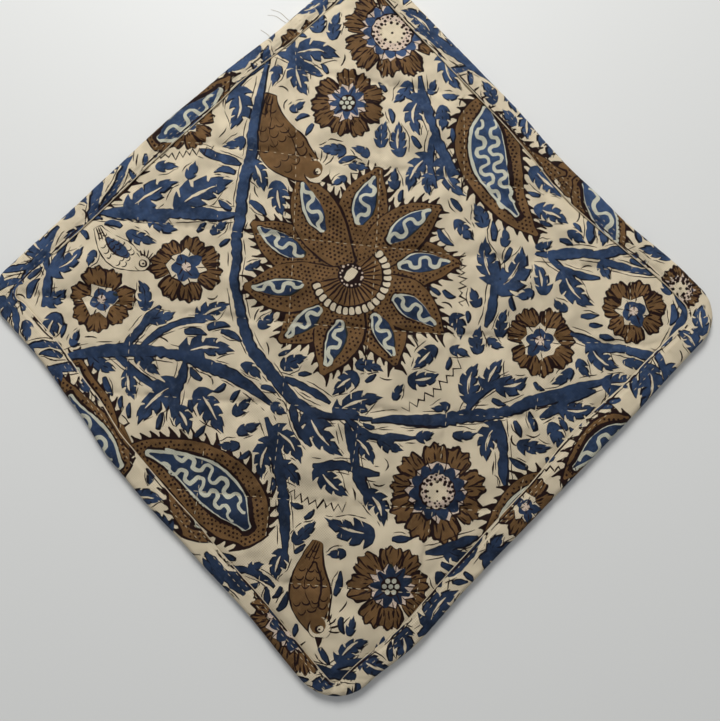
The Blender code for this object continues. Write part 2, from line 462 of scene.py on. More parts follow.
def take(x, y, radius, on_stem=False):
    reach = radius + WIDEST_LEAF
    for column in range(int((x - reach) // CELL), int((x + reach) // CELL) + 1):
        for row in range(int((y - reach) // CELL), int((y + reach) // CELL) + 1):
            TAKEN.setdefault((column, row), []).append((x, y, radius, on_stem))


def take_along(points, widths, on_stem=False):
    far = lengths(points)
    for (x, y), way in zip(points, far):
        take(x, y, table_at(widths, way / far[-1]) / 2, on_stem)


def is_free(x, y, radius, of_stems=True):
    """Whether a disc is clear of everything, or of everything but the stems."""
    if abs(x) + abs(y) > CLOTH_REACH:
        return False
    return all(math.dist((x, y), (a, b)) > radius + size or (on_stem and not of_stems)
               for a, b, size, on_stem in TAKEN.get((int(x // CELL), int(y // CELL)), ()))


# ---- leaves, twigs and stems ----

GAP = 0.45  # the least bare ground between two leaves, beside their lobes
LEAF_PITCH, LEAF_LONG = 6.8, 21.0
TWIG_PITCH, TWIG_LONG = 21.0, 30.0
TWIG_WIDE = 2.3
HOOK_SPACING = 4.0
# A leaf's half width along it, and how far each lobe's points stand out, against the way along it.
LEAF_SWELL = (0.4, 0.7, 0.95, 1.05, 1.05, 0.95, 0.8, 0.55, 0.25)
LOBE = ((0.06, 0.46), (0.34, 0.92), (0.78, 1.08), (1.16, 1.20), (1.0, 0.66))
# The dark edge is printed first, bigger and a little aside of the blue.
INK_AND_EDGE = ((BLUE_EDGES, NAVY, 0.26, (0.26, -0.20)), (BLUES, BLUE, -0.12, (0, 0)))


def lobed(points, wide, lobes, extra):
    """The outline of a leaf with pointed lobes that lean along it, on both sides of its midrib."""
    sides = normals(points)
    last = len(points) - 1

    def spot(share, reach):
        i = min(int(share * last), last - 1)
        step = share * last - i
        (x, y), (u, v), (nx, ny) = points[i], points[i + 1], sides[i]
        return x + (u - x) * step + nx * reach, y + (v - y) * step + ny * reach

    edges = []
    for side in (-1, 1):
        edge = []
        for i in range(lobes):
            uneven = 1 + 0.22 * noise(points[0][0] * 0.7 + 1.7 * i, 71 + side)
            for ahead, reach in LOBE:
                share = min((i + ahead) / (lobes + 0.7), 0.96)
                half = wide / 2 * math.sin(math.pi * (0.17 + 0.83 * share) ** 0.85)
                edge.append(spot(share, side * (half * reach * uneven + extra)))
        edges.append(edge)
    return edges[0] + [spot(1.0, 0)] + edges[1][::-1]


def leaf(points, wide, side):
    """A blue leaf: a dark edge, lobes if it is long, a bare midrib if it is broad, a line beside it."""
    long = lengths(points)[-1]
    lobes = min(4, max(2, round(long / 4.2))) if wide > 2.8 else 0
    for layer, ink, extra, slip in INK_AND_EDGE:
        paint(layer, ink, lobed(points, wide, lobes, extra) if lobes else ribbon(
            points, (wide * 0.55, wide, wide * 0.9, wide * 0.12), extra), slip)
    run = smooth_line(points, 0.9)
    if wide > 6:
        midrib = part(run, 0.22, 0.74)
        paint(RESERVES, CREAM, ribbon(midrib[::2], (0.3, 1.2, 0.3)))
        broken(beside(midrib, side, 0.5), 0.36)
    elif wide > 4.4:
        broken(part(run, 0.2, 0.75), 0.42, 5, 3, ink=NAVY)
    if long > 6:
        broken(beside(part(run, 0.15, 1), side, (wide * 0.5 + 1.0, wide * 0.55 + 1.0, 0.9)), 0.42, 9, 2,
               BLUE_EDGES)


def sprout(x, y, heading, long, bend, wide, least=6.0, rooted=True):
    """Let a leaf grow from x, y, as big as there is room for. True if there was any."""
    while long > least:
        points = bent(x, y, heading, long, bend)
        swells = [wide / 2 * k for k in LEAF_SWELL]
        if all(is_free(*points[i], swells[i] + GAP, not rooted or i > 4)
               for i in range(3 if rooted else 0, len(points))):
            leaf(points, wide, 1 if bend > 0 else -1)
            for spot, swell in zip(points, swells):
                take(*spot, swell)
            return True
        long, wide = long * 0.86, wide * 0.90
    return False


def stem(points, width, twigs=True):
    """A blue stem as far as it is clear of the motifs, with places for twigs and leaves along it."""
    run = [(x + 0.9 * noise(y * 0.11, 92), y + 0.9 * noise(x * 0.11, 93))
           for x, y in smooth_line(points, 0.9)]
    while run and not is_free(*run[-1], width / 2, False):
        run.pop()
    if len(run) < 8:
        return
    widths = [width * k for k in (0.35, 0.95, 1.15, 1, 0.9, 1.15, 0.9, 0.35)]
    for layer, ink, extra, slip in INK_AND_EDGE:
        paint(layer, ink, ribbon(run[::4] + run[-1:], widths, extra, lobes=0.9), slip)
    take_along(run, [wide * 0.9 for wide in widths], True)
    for side in (1, -1):
        broken(beside(run, side, width * 0.5 + 1.3), 0.4, 12, 6, BLUE_EDGES)
    sides = normals(run)
    for pitch, places in ((LEAF_PITCH, BUDS), (TWIG_PITCH, TWIGS if twigs else [])):
        for i in range(int(len(run) * 0.9 / pitch * 2)):
            at = min(round((i + 0.4) * pitch / 1.8), len(run) - 1)
            (x, y), (nx, ny) = run[at], sides[at]
            side = 1 if i % 2 else -1
            heading = math.atan2(-nx, ny) + side * (0.85 + 0.25 * noise(x * 0.6 + y, 81))
            if places is BUDS:
                long = LEAF_LONG * (1 + 0.35 * noise(x - y * 0.7, 82))
                places.append((x, y, heading, long, -side * (1.0 + 0.5 * noise(x + y, 83)), long * 0.40))
            else:
                places.append((x, y, heading, TWIG_LONG, -side * (0.9 + 0.6 * noise(x + y, 94))))
    BUDS.append((*run[-1], math.atan2(-sides[-1][0], sides[-1][1]), LEAF_LONG * 0.8, 0.3, LEAF_LONG * 0.34))


def zigzag(points):
    """A dark line that goes to and fro across another."""
    take_along(points, 3.6)
    run = smooth_line(points, 1.7)
    turns = []
    for i, ((x, y), (nx, ny)) in enumerate(zip(run, normals(run))):
        reach = (-1) ** i * (1.1 + 0.9 * noise(i * 1.7 + x, 96))
        turns.append((x + reach * nx, y + reach * ny))
    drawn(turns, 0.95)


def branch_out():
    """Twigs from the stems, each as long as there is room for it and for leaves along it."""
    for x, y, heading, long, bend in list(TWIGS):
        while long > 11:
            points = bent(x, y, heading, long, bend)
            if all(is_free(*spot, 3.4, i > 2) for i, spot in enumerate(points) if i > 1):
                stem(points, TWIG_WIDE, twigs=False)
                break
            long *= 0.8


def cells(spacing):
    """The numbers of the columns and rows of a square grid over the cloth."""
    steps = range(-int(CLOTH_REACH / spacing), int(CLOTH_REACH / spacing) + 1)
    return [(column, row) for column in steps for row in steps]


def fill_ground():
    """Leaves from the stems, then loose ones and small dark hooks where the ground is still bare."""
    branch_out()
    for bud in sorted(BUDS, key=lambda item: -item[3]):
        sprout(*bud)
    for spacing, long, slim in ((6.5, 21.0, 0.40), (4.6, 14.0, 0.38), (3.8, 9.0, 0.30)):
        for column, row in cells(spacing):
            x = spacing * (column + 0.5 * noise(column * 1.3 + row * 2.1, 84))
            y = spacing * (row + 0.5 * noise(column * 1.7 - row * 1.9, 85))
            if is_free(x, y, 1.2):
                heading = math.pi * (noise(x * 0.09 + y * 0.05, 86) + (column + row) % 2)
                bend = 1.3 * noise(x + y, 87)
                if sprout(x, y, heading, long, bend, long * slim, long * 0.5, False) and long > 10:
                    for turn in (1.25, -1.25):  # a sprig of three
                        sprout(x, y, heading + turn, long * 0.8, -turn * 0.8, long * 0.3, long * 0.35)
    for column, row in cells(HOOK_SPACING):
        x = HOOK_SPACING * column + 1.5 * noise(column * 2.3 + row, 88)
        y = HOOK_SPACING * row + 1.5 * noise(column - row * 2.7, 89)
        if is_free(x, y, 1.5):
            heading = math.pi * noise(x * 0.31 + y, 90)
            hook = bent(x, y, heading, 5.0, 2.4 * noise(x * 0.7 - y, 91), 6)
            if all(is_free(*spot, 0.5) for spot in hook):
                drawn(hook, 0.62)
                take(*hook[3], 1.8)


# ---- motifs ----


def star(x, y, outer, inner, points, turn):
    """The outline of a star with rounded points."""
    count = points * 6
    return [polar(x, y, inner + (outer - inner) * abs(math.cos(math.pi * i / 6)) ** 1.3,
                  turn + math.tau * i / count) for i in range(count)]


def petal(x, y, inner, outer, angle, half, extra=0.0):
    """The outline of one broad petal, with a ruffled end."""
    outline = [polar(x, y, inner, angle - half * 0.7)]
    for i in range(-12, 13):
        share = i / 12
        round_end = math.sqrt(max(0.0, 1 - abs(share) ** 3))
        reach = outer * (0.60 + 0.40 * round_end)
        reach -= 0.09 * outer * abs(math.sin(share * 5.4 + 3 * noise(angle + x, 33))) ** 2 * round_end
        outline.append(polar(x, y, reach + extra, angle + share * (half + extra / outer)))
    return outline + [polar(x, y, inner, angle + half * 0.7)]


def hatching(x, y, outer, angle, half, strokes, depth):
    """Dark curved strokes that run in from a petal's edge."""
    for i in range(strokes):
        share = (i + 0.5) / strokes * 2 - 1
        way = angle + share * half * 0.9 + 0.04 * noise(i * 1.7 + angle, 22)
        round_end = math.sqrt(max(0.05, 1 - abs(share) ** 3))
        start = outer * (0.60 + 0.40 * round_end) * 0.99
        end = start - outer * depth * (1 + 0.7 * noise(i * 2.3 + x + angle, 21))
        middle = (start + end) / 2
        wide = (0.40 + 0.16 * noise(i * 3.1 + y, 23)) / start
        turn = 0.05 * noise(i * 1.1 + x, 24)
        paint(BROWNS, MAROON, [polar(x, y, reach, way + aside) for reach, aside in (
            (start, -wide), (start, wide), (middle, wide * 1.1 + turn), (end, 2 * turn),
            (middle, turn - wide * 0.8))])


def ragged(x, y, radius, depth, count, seed):
    """The outline of a blot whose edge runs out into uneven points."""
    outline = []
    for i in range(count * 2):
        reach = radius - depth * (i % 2) + depth * 0.5 * noise(i * 1.7 + x, seed)
        outline.append(polar(x, y, reach, math.pi * (i + 0.4 * noise(i * 2.1 + y, seed + 1)) / count))
    return outline


def speck(x, y, radius, ink=MAROON, sides=5):
    """A small mark with an outline too short to waver."""
    PRINT.append((LINES, ink, disc(x, y, radius, sides)))


def ring_of_specks(x, y, radius, count):
    """A ring of small dark marks, as uneven as a worn block prints them."""
    for i in range(count):
        angle = math.tau * i / count + 0.09 * noise(i * 1.7 + radius, 14)
        size = 0.62 * (1 + 0.5 * noise(i * 2.9 + radius, 15))
        speck(*polar(x, y, radius * (1 + 0.07 * noise(i * 1.3, 16)), angle), size)


def petals_round(x, y, radius, petals, turn, strokes, depth):
    """A flower's brown petals, each with a dark edge and hatching."""
    half = math.pi / petals * 1.10
    for i in range(petals):
        angle = turn + math.tau * i / petals + 0.12 * noise(i + x, 32)
        outer = radius * (1 + 0.08 * noise(i * 1.9 + x, 31))
        paint(BROWNS, MAROON, petal(x, y, radius * 0.2, outer, angle, half, 0.5))
        paint(BROWNS, BROWN, petal(x, y, radius * 0.2, outer - 0.2, angle, half - 0.6 / radius))
        hatching(x, y, outer, angle, half, strokes + 2, depth)


def blue_lobes(x, y, size, points, turn, spread):
    """The blue lobes round a flower's centre, with a dark line on every other one."""
    wide = math.tau * size * 0.66 / points
    for i in range(points):
        angle = turn + math.tau * i / points + 0.1 * noise(i * 1.4 + y, 34)
        reach = size * (1 + spread * noise(i * 2.1 + y, 35))
        paint(BLUES, BLUE, ribbon([polar(x, y, out, angle) for out in (size * 0.22, reach * 0.62, reach)],
                                  (wide * 0.7, wide * 0.95, wide * 0.35)))
        if i % 2:
            stroke(polar(x, y, size * 0.4, angle + 0.12), polar(x, y, size * 0.95, angle), 0.4)


def bloom(x, y, radius, petals, turn, heart, points, beads=0, eye=0.0, strokes=4, depth=0.26):
    """A flower: brown hatched petals, a ragged pale ring, blue lobes, and a centre.

    heart is the share of the radius inside the petals, with this many points. In its middle are
    beads, an eye (its share of the radius), or a few strokes.
    """
    take(x, y, radius)
    petals_round(x, y, radius, petals, turn, strokes, depth)
    size = radius * heart
    for i in range(petals * 4):
        angle = turn + math.tau * (i + 0.3 * noise(i * 1.3 + x, 37)) / (petals * 4)
        start, end = size * 1.08, size * 1.08 + radius * (0.14 + 0.10 * noise(i * 2.7 + y, 38))
        stroke(polar(x, y, start, angle), polar(x, y, end, angle + 0.03), 0.7, ON_BROWN)
    rim = ragged(x, y, size + (0.7 if eye or beads else 1.1), 1.7, round(points * 1.5), 71)
    paint(HALOS, MAROON, [(x + (a - x) * 1.06, y + (b - y) * 1.06) for a, b in rim])
    paint(HALOS, PINK if eye or beads else CREAM, rim)
    turn += 0.2
    if eye:
        paint(BLUES, BLUE, star(x, y, size, size * 0.80, points, turn))
    else:
        paint(BLUES, BLUE, star(x, y, size * 0.72, size * 0.5, points, turn))
        blue_lobes(x, y, size, points, turn, 0.10 if beads else 0.30)
    for i in range(points):
        angle = turn + math.tau * (i + 0.5) / points + 0.07 * noise(i * 1.9 + y, 36)
        stroke(polar(x, y, size * 0.72, angle), polar(x, y, size * 1.2, angle + 0.03), 0.5)
    if beads:
        paint(LINES, MAROON, disc(x, y, radius * 0.235))
        for i in range(beads):
            bead = polar(x, y, radius * 0.15, math.tau * i / (beads - 1)) if i else (x, y)
            speck(*bead, radius * 0.062, PALE, 7)
    elif eye:
        size = radius * eye
        paint(LINES, MAROON, star(x, y, size + 0.7, size + 0.3, 13, 0))
        paint(LINES, PINK, star(x, y, size + 0.25, size - 0.15, 15, 0))
        paint(LINES, CREAM, disc(x, y, size * 0.62))
        for share, count in ((0.92, 2.9), (0.74, 2.2), (0.58, 1.3)):
            ring_of_specks(x, y, size * share, round(size * count))
        speck(x, y, 0.6, sides=6)
    else:
        paint(LINES, PINK, disc(x, y, radius * 0.13))
        for i in range(5):
            stroke(polar(x, y, radius * 0.06, 1.3 * i),
                   polar(x, y, radius * (0.2 + 0.03 * i), 1.3 * i + 0.2), 0.5)


def fringe(x, y, inner, outer, start, end, count):
    """A fan of brown strokes with dark lines between."""
    half = abs(end - start) / count * 0.56
    for i in range(count):
        angle = start + (end - start) * (i + 0.5) / count
        reach = outer * (1 + 0.09 * noise(i * 1.7 + x, 18))
        for ink, extra in ((MAROON, 0.35), (BROWN, 0.0)):
            shoulder = half + extra / outer
            paint(BROWNS, ink, [polar(x, y, out, angle + aside) for out, aside in (
                (inner, -half * 0.6), (reach * 0.8, -shoulder), (reach + extra, 0.0),
                (reach * 0.8, shoulder), (inner, half * 0.6))])


def great_flower(x, y, reach, petals, turn):
    """A big flower: curling spotted petals round blue drops, and a beaded cup in the middle."""
    spines = []
    for i in range(petals):
        angle = turn + math.tau * i / petals + 0.08 * noise(i * 1.3, 66)
        long = reach * (1 + 0.12 * math.sin(angle) + 0.06 * noise(i * 1.7, 67))
        spines.append(bent(*polar(x, y, 4, angle - 0.4), angle + 0.22, long, -0.5, 10))
    spines = spines[::2] + spines[1::2]  # every other petal lies over its neighbours
    widths = (6, 14, 19, 19, 13, 2)
    for spine in spines:
        brown_band(spine, widths, 2.0, 1.0, 3.5)
        take_along(spine, widths)
        take(*spine[-1], 3.5)
    for i, spine in enumerate(spines):
        core = part(spine, 0.36, 0.86)
        wide = 7.4 + 1.6 * noise(i * 2.3, 68)
        blue_drop(core, (wide * 0.3, wide * 0.95, wide, wide * 0.66, 0.8))
        meander(part(core, 0.1, 0.95), 1.5, wide * 0.30, 5)
    # The cup: brown ribs under a ring of pale beads, and a pale eye in the middle.
    cup, ribs = 12.4, 20
    low, high = math.radians(195), math.radians(405)
    for ink, radius in ((MAROON, cup + 0.8), (BROWN, cup)):
        paint(RESERVES, ink, [polar(x, y, radius, low + (high - low) * i / 28) for i in range(29)])
    for i in range(ribs + 1):
        angle = low + (high - low) * i / ribs
        stroke(polar(x, y, 5, angle), polar(x, y, cup, angle), 0.75)
        if i < ribs:
            bead = [polar(x, y, cup + out, angle + 0.09) for out in (0.6, 3.6)]
            paint(RESERVES, MAROON, ribbon(bead, (2.5, 3.2, 2.8), 0.3))
            paint(RESERVES, CREAM, ribbon(bead, (1.5, 2.4, 2.0)))
    paint(LINES, MAROON, disc(x, y, 5.4))
    for i in range(17):
        angle = math.tau * i / 17 + 0.1 * noise(i * 1.3, 63)
        speck(*polar(x, y, 4.5 + 0.6 * noise(i * 1.7, 64), angle), 0.5 + 0.2 * noise(i * 2.3, 65), PINK)
    paint(LINES, CREAM, ribbon(bent(x - 2, y - 2, 0.8, 6, 0.2), (2.2, 3.8, 2.8)))


def paisley(x, y, heading, long, wide, bend, crest):
    """A spotted brown paisley with thorns, from its round end to its tip, round a blue drop."""
    spine = bent(x, y, heading, long, bend, 12)
    widths = [wide * k for k in (0.34, 0.84, 1.0, 0.98, 0.84, 0.62, 0.38, 0.05)]
    if crest:
        fringe(*spine[-2], 1, 14, heading + bend - 1.0, heading + bend + 0.9, 11)
        take(*polar(*spine[-2], 8, heading + bend), 8)
    brown_band(spine, widths, 2.05, 1.2, 4.2)
    take_along(spine, widths)
    core = part(spine, 0.12, 0.80)
    sizes = [wide * k for k in (0.08, 0.42, 0.52, 0.44, 0.22, 0.03)]
    paint(HALOS, MAROON, ribbon(core, sizes, 1.9))
    paint(HALOS, PALE, ribbon(core, sizes, 0.8), (-0.5, 0.2))
    paint(BLUES, BLUE, ribbon(core, sizes))
    if wide > 22:
        for side in (-1, 1):
            meander(beside(part(core, 0.10, 0.84), side, wide * 0.105), 1.5, wide * 0.085, 10)
    else:
        meander(part(core, 0.12, 0.84), 1.6, wide * 0.14, round(long / 9))
    for spot in beside(smooth_line(core, 1.6), 1, [size / 2 + 1.35 for size in sizes])[1:-1]:
        speck(*spot, 0.4)


def bird(x, y, heading, long, bend, body=BROWN, wing=BROWN):
    """A plump bird from its tail at x, y to its bill, with feathers drawn as rows of arcs."""
    side = 1 if bend > 0 else -1
    spine = bent(x, y, heading, long, bend, 12)
    widths = [long * k for k in (0.12, 0.22, 0.34, 0.44, 0.46, 0.36, 0.24)]
    take_along(spine, widths)
    paint(BROWNS, MAROON, ribbon(spine, widths, 0.4))
    paint(BROWNS, body, ribbon(spine, widths))
    feathers = beside(part(spine, 0.22, 0.72), side, long * 0.04)
    for ink, extra in ((MAROON, 0.35), (wing, 0.0)):
        paint(ON_BROWN, ink, ribbon(feathers, (1, long * 0.16, long * 0.17, long * 0.06), extra))
    for share, count in ((0.06, 1), (0.16, 2), (0.30, 3), (0.42, 3), (0.54, 4), (0.66, 4), (0.76, 3)):
        i = round(share * 12)
        (cx, cy), (nx, ny) = spine[i], normals(spine)[i]
        step = table_at(widths, share) / (count + 0.6)
        way = math.atan2(-nx, ny)
        for k in range(count):
            aside = (k - (count - 1) / 2) * step
            middle = cx + nx * aside, cy + ny * aside
            drawn([polar(*middle, step * 0.42, way + 0.5 * t) for t in range(-3, 4)], 0.5, ON_BROWN)
    for k in (-1, 0, 1):
        drawn(bent(*beside(spine, k, long * 0.03)[0], heading, long * 0.24, 0.2 * k), 0.55, ON_BROWN)
    # Its head, with a ring for an eye, a bill, and strokes for a crest.
    head, size = spine[-1], long * 0.12
    way = heading + bend
    take(*head, size + 2)
    paint(ON_BROWN, MAROON, disc(*head, size + 0.4))
    paint(ON_BROWN, CREAM, disc(*head, size))
    paint(ON_BROWN, body, disc(*polar(*head, size * 0.35, way + math.pi), size * 0.8))
    for ink, radius in ((MAROON, 1.7), (CREAM, 1.15), (MAROON, 0.5)):
        paint(LINES, ink, disc(*polar(*head, size * 0.1, way), radius))
    paint(LINES, MAROON, [polar(*head, size * out, way - side * aside) for out, aside in (
        (1.0, 0.0), (1.9, 0.5), (0.95, 0.9))])
    for k in range(5):
        angle = way + side * (0.9 + 0.32 * k)
        drawn(bent(*polar(*head, size * 0.9, angle), angle, size * (1.1 - 0.08 * k), side * 0.5), 0.6)


# ---- where the motifs are ----

BEADED = dict(heart=0.50, beads=7, strokes=3, points=9)
FIVE_POINTED = dict(heart=0.46, points=5, strokes=5, depth=0.3)
# x, y, radius, petals, turn, and what sets the flower apart
BLOOMS = [
    (14, 119, 21, 11, 0.1, dict(heart=0.60, points=13, eye=0.40, depth=0.2)),
    (-4, 86, 15, 9, 0.3, BEADED),
    (36, -71, 19, 9, 0.2, dict(heart=0.58, points=11, eye=0.34, depth=0.2)),
    (19, -107, 16, 8, 0.1, BEADED),
    (-66, 14, 14, 7, 0.5, FIVE_POINTED),
    (-99, 0, 13, 7, 0.2, dict(heart=0.44, points=4, depth=0.24)),
    (76, -11, 14, 7, 0.2, FIVE_POINTED),
    (113, 2, 13, 7, 0.3, dict(heart=0.44, points=4, strokes=5, depth=0.3)),
    (-70, 76, 12, 8, 0.3, dict(heart=0.4, points=5, strokes=3)),
    (-132, -12, 9, 8, 0.0, dict(heart=0.6, points=9, eye=0.5, strokes=3)),
]
# x, y, heading, length, width, bend, crest; angles in this and the next tables are in degrees
PAISLEYS = [
    (56, 92, -105, 66, 26, 65, False), (-33, -92, 118, 66, 27, 60, True),
    (84, -66, 212, 44, 20, 25, False), (-92, -58, 128, 40, 18, -30, False),
    (84, 68, -40, 46, 19, -25, False), (-112, 42, 30, 36, 16, 20, False),
]
# x, y, heading, length, bend, inks
BIRDS = [(-36, 89, -100, 42, 85), (-9, -91, -112, 33, 50), (-103, 30, -62, 25, 50, CREAM, BLUE)]
# x, y, heading, length, bend, width
STEMS = [
    (10, -44, -2, 96, 28, 4.2), (104, -29, -70, 20, -50, 3.6), (-116, -26, 22, 92, -62, 4.2),
    (-31, -45, -70, 52, -18, 3.6), (-104, 36, 0, 57, 2, 4.4), (-47, 58, 155, 26, 20, 3.2),
    (-34, 108, -22, 30, -8, 3.2), (26, 99, -80, 44, 18, 3.6), (54, -6, 74, 28, 16, 3.2),
    (74, 24, 2, 44, 6, 3.6), (88, -8, -18, 44, 10, 3.4), (0, -46, -78, 30, 12, 3.4),
    (60, -42, -88, 34, 10, 3.4), (76, -42, 35, 24, -10, 3.0), (-12, -62, 0, 26, -14, 3.0),
    (-2, -90, -150, 14, 10, 2.6), (32, -94, 12, 26, 16, 3.0), (-88, -20, 62, 22, -10, 3.0),
    (-122, -4, 84, 26, -12, 3.0), (-64, -24, -100, 22, 4, 3.2), (96, 30, 92, 26, -20, 3.0),
    (-52, 96, 200, 26, 12, 3.0), (-30, 124, 210, 22, -6, 3.0), (-60, -96, -38, 44, 6, 3.6),
    (-16, -134, -30, 30, 40, 3.4), (40, -110, 42, 40, 4, 3.6), (118, -30, 60, 44, 10, 3.6),
    (36, 112, -45, 34, 4, 3.2), (26, 132, -50, 26, 6, 3.2), (-8, 140, -10, 24, -10, 3.0),
]
# x, y, heading, length, bend
ZIGZAGS = [(-93, 62, -10, 36, 30), (22, -40, 26, 30, 30), (44, 24, -80, 22, -20), (-22, -72, -30, 24, 30)]


def cloth_print():
    """The whole cloth: big motifs, then stems between them, then leaves wherever there is room."""
    degree = math.radians
    great_flower(0, 13, 41, 10, 0.2)
    for x, y, radius, petals, turn, details in BLOOMS:
        bloom(x, y, radius, petals, turn, **details)
    for x, y, heading, long, wide, bend, crest in PAISLEYS:
        paisley(x, y, degree(heading), long, wide, degree(bend), crest)
    for x, y, heading, long, bend, *inks in BIRDS:
        bird(x, y, degree(heading), long, degree(bend), *inks)
    oval = [(2 + 49 * math.cos(degree(a)), 20 + 64 * math.sin(degree(a))) for a in range(170, 281, 22)]
    stem([(-37, 106), (-42, 72)] + oval, 3.8)
    for x, y, heading, long, bend, width in STEMS:
        stem(bent(x, y, degree(heading), long, degree(bend)), width)
    for x, y, heading, long, bend in ZIGZAGS:
        zigzag(bent(x, y, degree(heading), long, degree(bend)))
    fill_ground()


# ---- turning outlines into a mesh ----

INK_CELL = 3.0
MERGE = 0.004  # corners nearer than this become one


def covered(points, outline):
    """Which points an outline goes round, however it crosses itself."""
    x, y = points.T[:, :, None]
    x0, y0 = np.asarray(outline, float).T
    x1, y1 = np.roll(outline, -1, 0).T
    side = (x1 - x0) * (y - y0) - (x - x0) * (y1 - y0)
    rising = (y0 <= y) & (y1 > y) & (side > 0)
    falling = (y0 > y) & (y1 <= y) & (side < 0)
    return rising.sum(1) != falling.sum(1)


def inks_at(points, print_list):
    """The ink at each point, with the outlines printed in the order of their layers."""
    low = points.min(0)
    columns, rows = ((points - low) // INK_CELL).astype(int).T
    wide, high = columns.max() + 1, rows.max() + 1
    cells = rows * wide + columns
    order = np.argsort(cells, kind="stable")
    starts = np.searchsorted(cells[order], np.arange(wide * high + 1))
    inks = np.full(len(points), CREAM)
    for _, ink, outline in sorted(print_list, key=lambda item: item[0]):
        first = ((np.min(outline, 0) - low) // INK_CELL).astype(int).clip(0)
        last = np.minimum((np.max(outline, 0) - low) // INK_CELL, [wide - 1, high - 1]).astype(int)
        if (last < first).any():
            continue
        near = np.concatenate([order[starts[row * wide + first[0]]:starts[row * wide + last[0] + 1]]
                               for row in range(first[1], last[1] + 1)])
        hit = near[covered(points[near], outline)]
        on_brown = np.isin(inks[hit], (BROWN, OLIVE)) & (ink == BLUE)
        inks[hit] = np.where(on_brown, OLIVE, ink)
    return inks


def laid_out(ring, chains, points):
    """Triangles that fill a ring and keep to the chains, after the corners that they use."""
    corners = [*map(tuple, ring)]
    edges = [(i, (i + 1) % len(ring)) for i in range(len(ring))]
    for chain in chains:
        edges += [(i, i + 1) for i in range(len(corners), len(corners) + len(chain) - 1)]
        corners += map(tuple, chain)
    corners += map(tuple, points)
    laid = delaunay_2d_cdt([Vector(corner) for corner in corners], edges, [], 0, MERGE, False)
    plan = np.array([tuple(corner) for corner in laid[0]])
    triangles = np.array([face for face in laid[2] if len(face) == 3])
    triangles = triangles[covered(plan[triangles].mean(1), ring)]
    used, triangles = np.unique(triangles, return_inverse=True)
    return plan[used], triangles.reshape(-1, 3)


def boundary(triangles):
    """The corner numbers round the edge of a patch of triangles, in order."""
    edges = np.concatenate([triangles[:, [0, 1]], triangles[:, [1, 2]], triangles[:, [2, 0]]])
    keys = set(map(tuple, edges.tolist()))
    following = {a: b for a, b in keys if (b, a) not in keys}
    loop = [min(following)]
    while following[loop[-1]] != loop[0]:
        loop.append(following[loop[-1]])
    return np.array(loop)


def kept_runs(points, good, leap=math.inf):
    """The stretches of a row of points that are good and have no leap along x in them."""
    runs = [[]]
    for point, keep in zip(points, good):
        if not keep or (runs[-1] and abs(runs[-1][-1][0] - point[0]) >= leap):
            runs.append([])
        if keep:
            runs[-1].append(point)
    return [run for run in runs if len(run) > 1]


def grid_points(spacing, low, high):
    """A triangular grid over a box."""
    rows = np.arange(low[1], high[1], spacing * 0.866)
    x, y = np.meshgrid(np.arange(low[0], high[0], spacing), rows)
    x = x + (np.arange(len(rows)) % 2)[:, None] * spacing / 2
    return np.stack([x.ravel(), y.ravel()], 1)


def joined(upper, lower):
    """Two sets of triangles between two closed rows of corner numbers, one under the other."""
    after, below = np.roll(upper, -1), np.roll(lower, -1)
    return np.stack([upper, lower, below], 1), np.stack([upper, below, after], 1)


def make_object(name, points, faces, materials, inks=None, spots=None, normals=None):
    """A mesh object from points in mm in the drawing's place, moved to where the CAD has it.

    spots are the corners' places in a baked picture, for each point or for each face's corner.
    """
    points = (np.asarray(points, float) - [*MIDDLE, 0]) * MM
    mesh = bpy.data.meshes.new(name)
    mesh.from_pydata(points.tolist(), [], [tuple(map(int, face)) for face in faces])
    for material in materials:
        mesh.materials.append(material)
    if inks is not None:
        mesh.polygons.foreach_set("material_index", np.asarray(inks, np.int32))
    mesh.shade_smooth()
    if spots is not None:
        layer = mesh.uv_layers.new(name="OFBake")
        corner = np.empty(len(mesh.loops), np.int32)
        mesh.loops.foreach_get("vertex_index", corner)
        spots = np.asarray(spots, np.float32)
        found = spots[corner] if len(spots) == len(points) else spots
        layer.uv.foreach_set("vector", found.ravel())
    if normals is not None:
        mesh.normals_split_custom_set_from_vertices(normals.tolist())
    item = bpy.data.objects.new(name, mesh)
    bpy.context.collection.objects.link(item)
    return item


# ---- the quilted face ----

CELL_STEPS = 14  # of the simulation's grid across each sewn square
# The seams with one more beyond each end, to hold the outer cells.
UP_LINES = [(-120.0, 0.0, -5.0), *UP_SEAMS, (147.0, 10.0, -8.0)]
LEVEL_LINES = [(-142.0, -5.0, 3.0), *LEVEL_SEAMS, (133.0, -14.0, 5.0)]
SIM_FRAMES = 20
SEAM_DEEP, SEAM_WIDE = 0.45, 1.1
PRINT_TUCK = 2.5  # how far the face's print goes on under the binding
PLATE = 0.74  # the share of the baked picture's side that the face takes
PLATE_SIZE = 232.0
PAD_BOX = ((-HALF - 4, -HALF - 4), (HALF + 4, HALF + 4))
# The pad's rim, from the face down to its underside: how far out, how high, how it faces.
RIM = [(1.0, 2.85, 0.6), (1.45, 2.15, 0.0), (1.0, 1.5, -0.6), (0.0, PAD_RIM_LOW, -1)]


def cell_edges(lines, cell, along):
    """Where the two seams beside each cell are, at this way along them."""
    places = np.stack([seam_at(line, along) for line in lines])
    return [np.take_along_axis(places, cell[None] + i, 0)[0] for i in (0, 1)]


def quilt_place(x, y):
    """Where a point is in the quilting: counted in cells across and up."""
    across, up = diagonal(x, y)
    found = []
    for lines, place, along in ((UP_LINES, across, up), (LEVEL_LINES, up, across)):
        cell = sum(place >= seam_at(line, along) for line in lines[1:-1])
        low, high = cell_edges(lines, cell, along)
        found.append(cell + (place - low) / (high - low))
    return found


